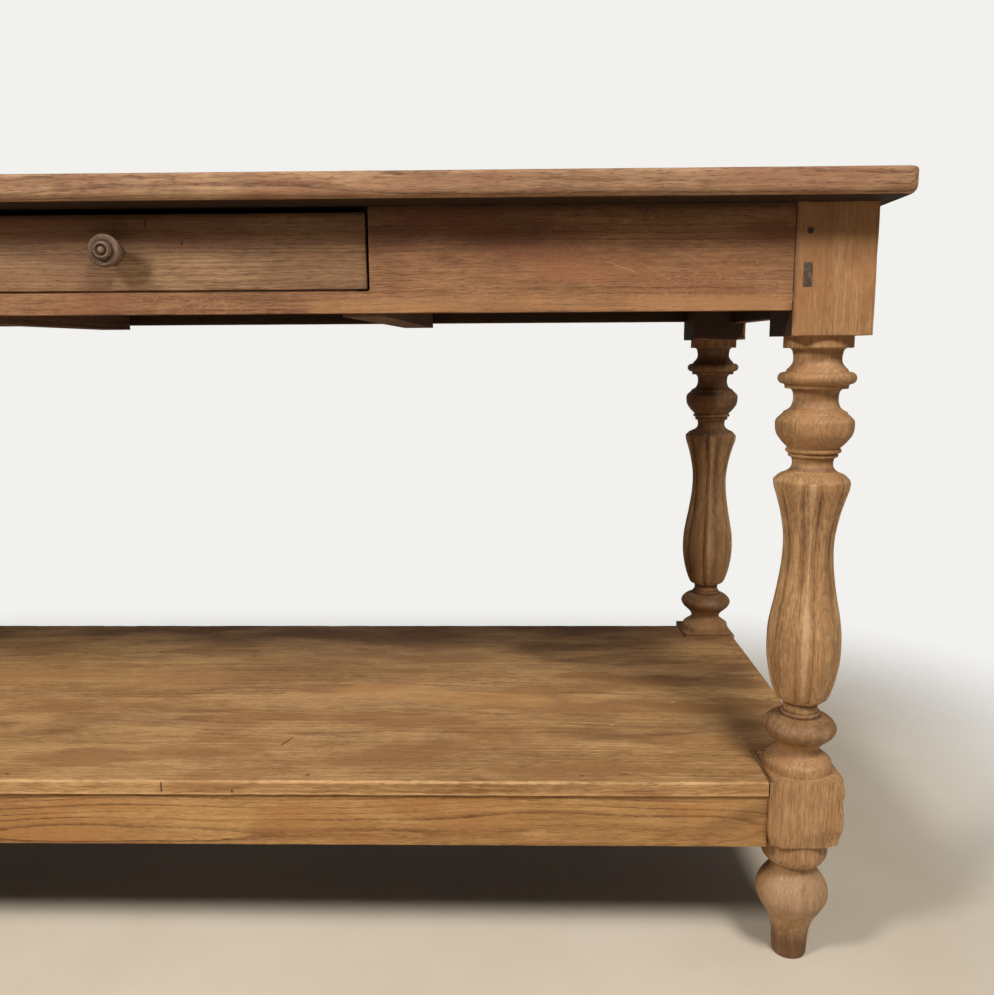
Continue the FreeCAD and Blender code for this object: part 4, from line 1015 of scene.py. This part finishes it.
def turned(outline, steps, window=0.007, relief_height=0.004):
    """Spins an outline of (radius, height) points about Z, with wear on crests and grime in hollows."""
    bm = bmesh.new()
    wear, grime = wear_layers(bm)
    run = []
    for point in outline:
        near = [other.x for other in outline if abs(other.y - point.y) < window]
        relief = (point.x - sum(near) / len(near)) / relief_height
        vert = bm.verts.new((point.x, 0, point.y))
        vert[wear] = 0.35 * min(1.0, max(0.0, relief))
        vert[grime] = 0.85 * min(1.0, max(0.0, -relief))
        run.append(vert)
    edges = [bm.edges.new(pair) for pair in zip(run, run[1:])]
    bmesh.ops.spin(bm, geom=run + edges, axis=(0, 0, 1), cent=(0, 0, 0), angle=math.tau, steps=steps,
                   use_merge=True)
    bmesh.ops.remove_doubles(bm, verts=bm.verts, dist=0.000005)
    bmesh.ops.recalc_face_normals(bm, faces=bm.faces)
    return bm, wear, grime


def share_down(height):
    """How far down the turned length a height lies."""
    return (upper_block_bottom - height) / spindle_length


def cut_flutes(bm, wear, grime, turn):
    """Moves the spun points to the flutes' own steps and sinks the grooves."""
    steps = len(lobe_shares)
    period = math.tau / flute_pairs
    for vert in bm.verts:
        radius = math.hypot(vert.co.x, vert.co.y)
        if radius < 0.001:
            continue
        step = round((math.atan2(vert.co.y, vert.co.x) % math.tau) / math.tau * flute_pairs * steps)
        pair, place_in_pair = divmod(step, steps)
        share = lobe_shares[place_in_pair]
        angle = (pair + share) * period + turn
        down = share_down(vert.co.z)
        from_groove = min(abs(share - groove_share), abs(1 - groove_share - share))
        narrow = share < groove_share or share > 1 - groove_share
        lobe_middle = 0 if narrow else 0.5
        off_middle = min(abs(share - lobe_middle), abs(1 + lobe_middle - share))
        lobe_half = groove_share if narrow else 0.5 - groove_share
        off_middle = (off_middle / lobe_half) ** 2
        rim = groove_start + 0.006 * (1 - off_middle)
        depth_share = ramp(down, rim, rim + 0.008) * ramp(-down, -groove_ends[1], -groove_ends[0])
        if depth_share > 0:
            nearness = max(0.0, 1 - from_groove * period * radius / groove_half_width)
            hollow = ramp(nearness, 0, 1) * (1 + 0.35 * ripple((share * 3, pair, down * 6), 0.5, 5))
            crown = (0.0004 if narrow else 0.0012) * off_middle
            radius -= depth_share * (groove_depth * hollow + crown)
            vert[grime] = max(vert[grime], 0.45 * ramp(down, rim, rim + 0.05) * depth_share * hollow)
            # The upper part of the broad lobes is painted darker as shade.
            vert[grime] += 0.28 * depth_share * ramp(-down, -0.56, -0.36) * (1 - narrow)
            crest = 0.75 if narrow else 0.1
            vert[wear] = max(vert[wear], depth_share * crest * max(0.0, 1 - 1.6 * nearness))
        vert.co.x = radius * math.cos(angle)
        vert.co.y = radius * math.sin(angle)


print("flutes:", 2 * flute_pairs, "round each leg,", groove_depth * 1000, "mm deep")

# %% [markdown]
# ## Dents
# Old wood loses small pieces at its edges. A dent pushes the points near one place inwards, most in
# the middle. It leaves fresh pale wood, so it also adds wear.

# %% Dents and blocks
def dent(bm, wear, where, radius, depth, toward, fresh=0.3):
    """Pushes the points round one place towards another, with a share of fresh wood there."""
    where = Vector(where)
    push = (Vector(toward) - where).normalized() * depth
    for vert in bm.verts:
        away = (vert.co - where).length
        if away < radius:
            amount = ramp(-away, -radius, 0)
            vert.co += push * amount
            vert[wear] = max(vert[wear], fresh * amount)


def square_end(bm, height, outward):
    """Cuts a leg off at a height and closes it, a hair within the end so as to catch no old face."""
    cut = height - outward * 0.0003
    slice_across(bm, 2, [cut], outward, clear_outer=True)
    bmesh.ops.holes_fill(bm, edges=[edge for edge in bm.edges if edge.is_boundary], sides=0)
    for vert in bm.verts:
        if abs(vert.co.z - cut) < 0.00001:
            vert.co.z = height


def leg_block(node, centre, low_z, high_z, bevel, loss, seed, knocks, dirt_and_shade_level, is_inner):
    """One square block of a leg, cut from the frame's leg with its mortises and peg holes."""
    low = Vector((centre.x - block_half, centre.y - block_half, low_z))
    high = Vector((centre.x + block_half, centre.y + block_half, high_z))
    bm = merged_copy(node)
    square_end(bm, low_z, -1)
    if abs(high_z - leg_high.z) > 0.001:
        square_end(bm, high_z, 1)
    make_flats_whole(bm)
    soften(bm, bevel, low, high, 4 if bevel > 0.002 else 2)
    for axis in (0, 1):
        for inset in (support_gap / 2 + bevel, support_gap + bevel, 2 * support_gap + bevel):
            slice_across(bm, axis, [low[axis] + inset, high[axis] - inset])
    slice_across(bm, 2, even_places(low_z, high_z, 0.003))
    weather(bm, low, high, bevel * 1.1, loss, seed)
    wear, grime = wear_layers(bm)
    for vert in bm.verts:
        # Faces that look into the table are painted near black as shade; the others take an even level of
        # darkening, with noise.
        inner = is_inner(vert.co)
        vert[wear] = 0 if inner else 0.4 * max(0.0, 1 - arris_distance(vert.co, low, high) / support_gap)
        vert[grime] = 1 if inner else dirt_and_shade_level + 0.25 * ripple(vert.co, 0.03, seed + 2)
    chance = random.Random(seed)
    for _ in range(knocks):
        height = chance.uniform(low_z, high_z)
        arris = (chance.choice((low.x, high.x)), chance.choice((low.y, high.y)), height)
        dent(bm, wear, arris, chance.uniform(0.007, 0.013), chance.uniform(0.0010, 0.0030),
             (centre.x, centre.y, height))
    if knocks > 5:
        for x, y in ((low.x, low.y), (low.x, high.y), (high.x, low.y), (high.x, high.y)):
            dent(bm, wear, (x, y, low_z), chance.uniform(0.022, 0.032), chance.uniform(0.0045, 0.0075),
                 (low + high) / 2, 0.15)
    return bm


print("leg blocks:", round(2000 * block_half), "mm square")

# %% [markdown]
# ## Legs
# Each leg is one stick of oak. It is put together from its two square blocks and its two turned lengths,
# which run a hair into the blocks so that no slit shows between them. The back legs stand in the table's
# shade, and that shade is painted into their colour, darkest towards the top.

# %% Four legs
sink = 0.0008
ankle_height = 0.070
ring_height = upper_block_bottom - 0.900 * spindle_length
crest_heights = (0.604, 0.548, ring_height, 0.605, ring_height + 0.004)
spindle_full = [
    Vector((0, spindle_outline[0].y + sink)), Vector((spindle_outline[0].x, spindle_outline[0].y + sink)),
    *spindle_outline,
    Vector((spindle_outline[-1].x, spindle_outline[-1].y - sink)), Vector((0, spindle_outline[-1].y - sink)),
]
foot_full = [
    Vector((0, lower_block_bottom + sink)), Vector((foot_outline[0].x, lower_block_bottom + sink)),
    *foot_outline, Vector((0, 0)),
]
leg_places = {
    "front_right": (1, -1, 0),
    "back_right": (1, 1, 79),
    "back_left": (-1, 1, 180),
    "front_left": (-1, -1, 270),
}
leg_oak = ((200, 158, 111), (134, 96, 60), (92, 61, 38), (164, 120, 78))


def round_axis(centre, radius, angle, height):
    """A place at an angle round a leg's axis."""
    return centre + Vector((radius * math.cos(angle), radius * math.sin(angle), height))


def rough_up(bm, centre, seed):
    """Moves a turned length to its leg and makes its surface a little uneven, always inwards."""
    bmesh.ops.translate(bm, verts=bm.verts, vec=centre)
    bm.normal_update()
    for vert in bm.verts:
        vert.co -= vert.normal * 0.00025 * (1 + ripple(vert.co, 0.03, seed))


def make_spindle(centre, degrees, seed, chipped, shaded):
    """The fluted length between the blocks."""
    bm, wear, grime = turned(spindle_full, flute_pairs * len(lobe_shares))
    cut_flutes(bm, wear, grime, flute_turn - math.pi / 2 + math.radians(degrees))
    rough_up(bm, centre, seed)
    if chipped:
        dent(bm, wear, round_axis(centre, 0.040, math.radians(-185), ring_height + 0.005), 0.010, 0.0036,
             round_axis(centre, 0, 0, ring_height - 0.005), 0.6)
    for vert in bm.verts:
        down = share_down(vert.co.z)
        vert[grime] = max(vert[grime], 0.62 * ramp(down, 0.862, 0.872) * ramp(-down, -0.945, -0.92))
        # On the back legs the table's shade is painted in, darker towards the top and less on worn crests.
        if shaded:
            shadow = 0.55 * ramp(-down, -0.75, 0.0) + 0.34
            vert[grime] = max(vert[grime], shadow - 0.9 * vert[wear])
    chance = random.Random(seed)
    for _ in range(5):
        angle = chance.uniform(0, math.tau)
        height = chance.choice(crest_heights)
        dent(bm, wear, round_axis(centre, 0.041, angle, height), chance.uniform(0.004, 0.008),
             chance.uniform(0.0006, 0.0016), round_axis(centre, 0, 0, height))
    return bm


def make_foot(centre, seed):
    """The bulb foot, dark at the ankle and rubbed below the block."""
    bm, wear, grime = turned(foot_full, 96)
    rough_up(bm, centre, seed)
    for vert in bm.verts:
        vert[grime] = max(vert[grime], 0.85 * ramp(-vert.co.z, -ankle_height, -ankle_height * 0.2))
        vert[wear] = max(vert[wear], 0.45 * ramp(vert.co.z, ankle_height, ankle_height * 1.4))
    return bm


def make_leg(node, seed, side_x, side_y, degrees, chipped):
    """A whole leg: its two blocks and its two turned lengths, as shells that overlap a hair."""
    centre = Vector((side_x * leg_x, side_y * leg_y, 0))

    def faces_in(co):
        return (side_x * (co.x - centre.x) < skin - block_half
                or side_y * (co.y - centre.y) < skin - block_half)

    def faces_shelf(co):
        return faces_in(co) and co.z > shelf_high.z + 0.0002

    shells = [
        leg_block(node, centre, upper_block_bottom, leg_high.z, 0.0012, 0.0012, seed,
                  0 if chipped else 3, 0.38, faces_in),
        make_spindle(centre, degrees, seed, chipped, side_y > 0),
        leg_block(node, centre, lower_block_bottom, lower_block_top, 0.0032, 0.0020, seed + 10, 11,
                  0.30, faces_shelf),
        make_foot(centre, seed),
    ]
    whole = bmesh.new()
    for shell in shells:
        mesh = bpy.data.meshes.new("shell")
        shell.to_mesh(mesh)
        shell.free()
        whole.from_mesh(mesh)
        bpy.data.meshes.remove(mesh)
    # The first patch darkens and reddens the upper block, partly its own redder tone and partly painted
    # shade under the overhanging top. The second is pale dust on the foot and the third a darker tone on the
    # lower block.
    stains_and_shade = [
        (centre + Vector((0, 0, 0.77)), centre + Vector((0, 0, 0.83)), 0.13, (150, 99, 60), 0.50),
        (centre + Vector((-0.025, -0.03, 0.085)), centre + Vector((0.02, -0.035, 0.09)), 0.035,
         (176, 144, 118), 0.50),
        (centre + Vector((0, 0, 0.17)), centre + Vector((0, 0, 0.20)), 0.09, (156, 110, 68), 0.45),
    ]
    material = wood("oak_" + node, *leg_oak, grain=upward, into=to_back,
                    middle=(centre.x, centre.y, 0.45), heart_side=0.02 * side_x, heart_depth=0.055,
                    ring_width=0.0036, wander=0.04, line_strength=0.2, fleck_strength=0.15,
                    pore_strength=0.3, stretch_of_tree=1.9 * seed, worn=(206, 170, 130),
                    grime=(84, 52, 32), roughness=-0.06, gloss=0.30, stains_and_shade=stains_and_shade)
    add_piece(node + "_turned", whole, material, "frame", [node])


for seed, (word, (side_x, side_y, degrees)) in enumerate(leg_places.items(), start=51):
    make_leg("leg_" + word, seed, side_x, side_y, degrees, word == "front_right")

# %% [markdown]
# ## Knob
# The knob is turned in a darker, closer wood. It is a smaller spin, laid on its side, with the
# tenon that holds it in the drawer front.

# %% Knob
knob_low, knob_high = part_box("drawer_knob")
knob_radius = (knob_high.x - knob_low.x) / 2
knob_centre = (knob_low + knob_high) / 2
drawer_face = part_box("drawer_front")[0].y
knob_tail_end = -(knob_high.y - drawer_face)
tenon_radius = 0.006
knob_shares = [
    ("curve", [(0, 0.66), (0.10, 0.66), (0.14, 0.56), (0.32, 0.50), (0.46, 0.66), (0.56, 0.92),
               (0.66, 1.0), (0.74, 0.97), (0.79, 0.86)]),
    ("line", [(0.765, 0.62)]),
    ("curve", [(0.80, 0.57), (0.90, 0.53), (0.955, 0.46), (0.955, 0.38)]),
    ("line", [(0.89, 0.31), (0.89, 0.25)]),
    ("curve", [(0.96, 0.21), (0.99, 0.12), (1.0, 0.0)]),
]
knob_run = outline_points(knob_shares, 0, knob_low.y - drawer_face, knob_radius, 0.0008)
knob_tail = [Vector((0, knob_tail_end)), Vector((tenon_radius, knob_tail_end)), Vector((tenon_radius, 0))]
knob_bm, knob_wear, knob_grime = turned([*knob_tail, *knob_run], 64, 0.003, 0.0012)
bmesh.ops.rotate(knob_bm, verts=knob_bm.verts, cent=(0, 0, 0),
                 matrix=Matrix.Rotation(math.radians(90), 3, "X"))
bmesh.ops.translate(knob_bm, verts=knob_bm.verts, vec=(knob_centre.x, drawer_face, knob_centre.z))
bmesh.ops.recalc_face_normals(knob_bm, faces=knob_bm.faces)
for vert in knob_bm.verts:
    from_centre = math.hypot(vert.co.x - knob_centre.x, vert.co.z - knob_centre.z) / knob_radius
    if from_centre < 0.23:
        vert[knob_grime] = 0.45
        vert[knob_wear] = 0.0
    if from_centre < 0.08:
        vert[knob_grime] = 0.0
        vert[knob_wear] = 0.7
knob_wood = wood("turned_knob_wood", (130, 104, 84), (88, 67, 53), (54, 38, 29), (96, 72, 56), grain=to_back,
                 into=upward, middle=(0, 0, knob_centre.z), heart_side=0.012, heart_depth=0.01,
                 ring_width=0.0016, wander=0.006, line_strength=0.45, worn=(150, 126, 102),
                 grime=(36, 26, 20), roughness=-0.06)
add_piece("knob_turned", knob_bm, knob_wood, "drawer", ["drawer_knob"])

# %% [markdown]
# ## Small parts
# The pegs are end grain, nearly black with wax. The patch is old filler, flat and grey. The nails
# have rusted brown and the screws are plain steel.

# %% Pegs, patch and metal
def plain(name, first, second, roughness, metallic=0.0, scale=400.0):
    """A mottled finish for a small part."""
    material, tree, shader = new_material(name)
    mottle = stretched_noise(shade(tree, "TexCoord").outputs["Object"], (scale, scale, scale), 3.0)
    feed(shader.inputs["Base Color"], blend(smooth_step(mottle, 0.35, 0.65), tint(*first), tint(*second)))
    feed(shader.inputs["Roughness"], roughness)
    feed(shader.inputs["Metallic"], metallic)
    relief = shade(tree, "Bump", {"Height": mottle, "Strength": 0.4, "Distance": 0.0003})
    feed(shader.inputs["Normal"], relief.outputs["Normal"])
    return material


dress("apron_pegs", plain("dark_peg", (62, 40, 28), (38, 25, 18), 0.6))
dress("leg_filler_patch", plain("old_filler", (96, 76, 58), (60, 46, 35), 0.8, scale=250.0))
dress("shelf_nails", plain("rusted_nail", (132, 97, 64), (104, 74, 48), 0.7))
dress("button_screws", plain("screw_steel", (120, 116, 110), (92, 86, 80), 0.4, metallic=1.0))
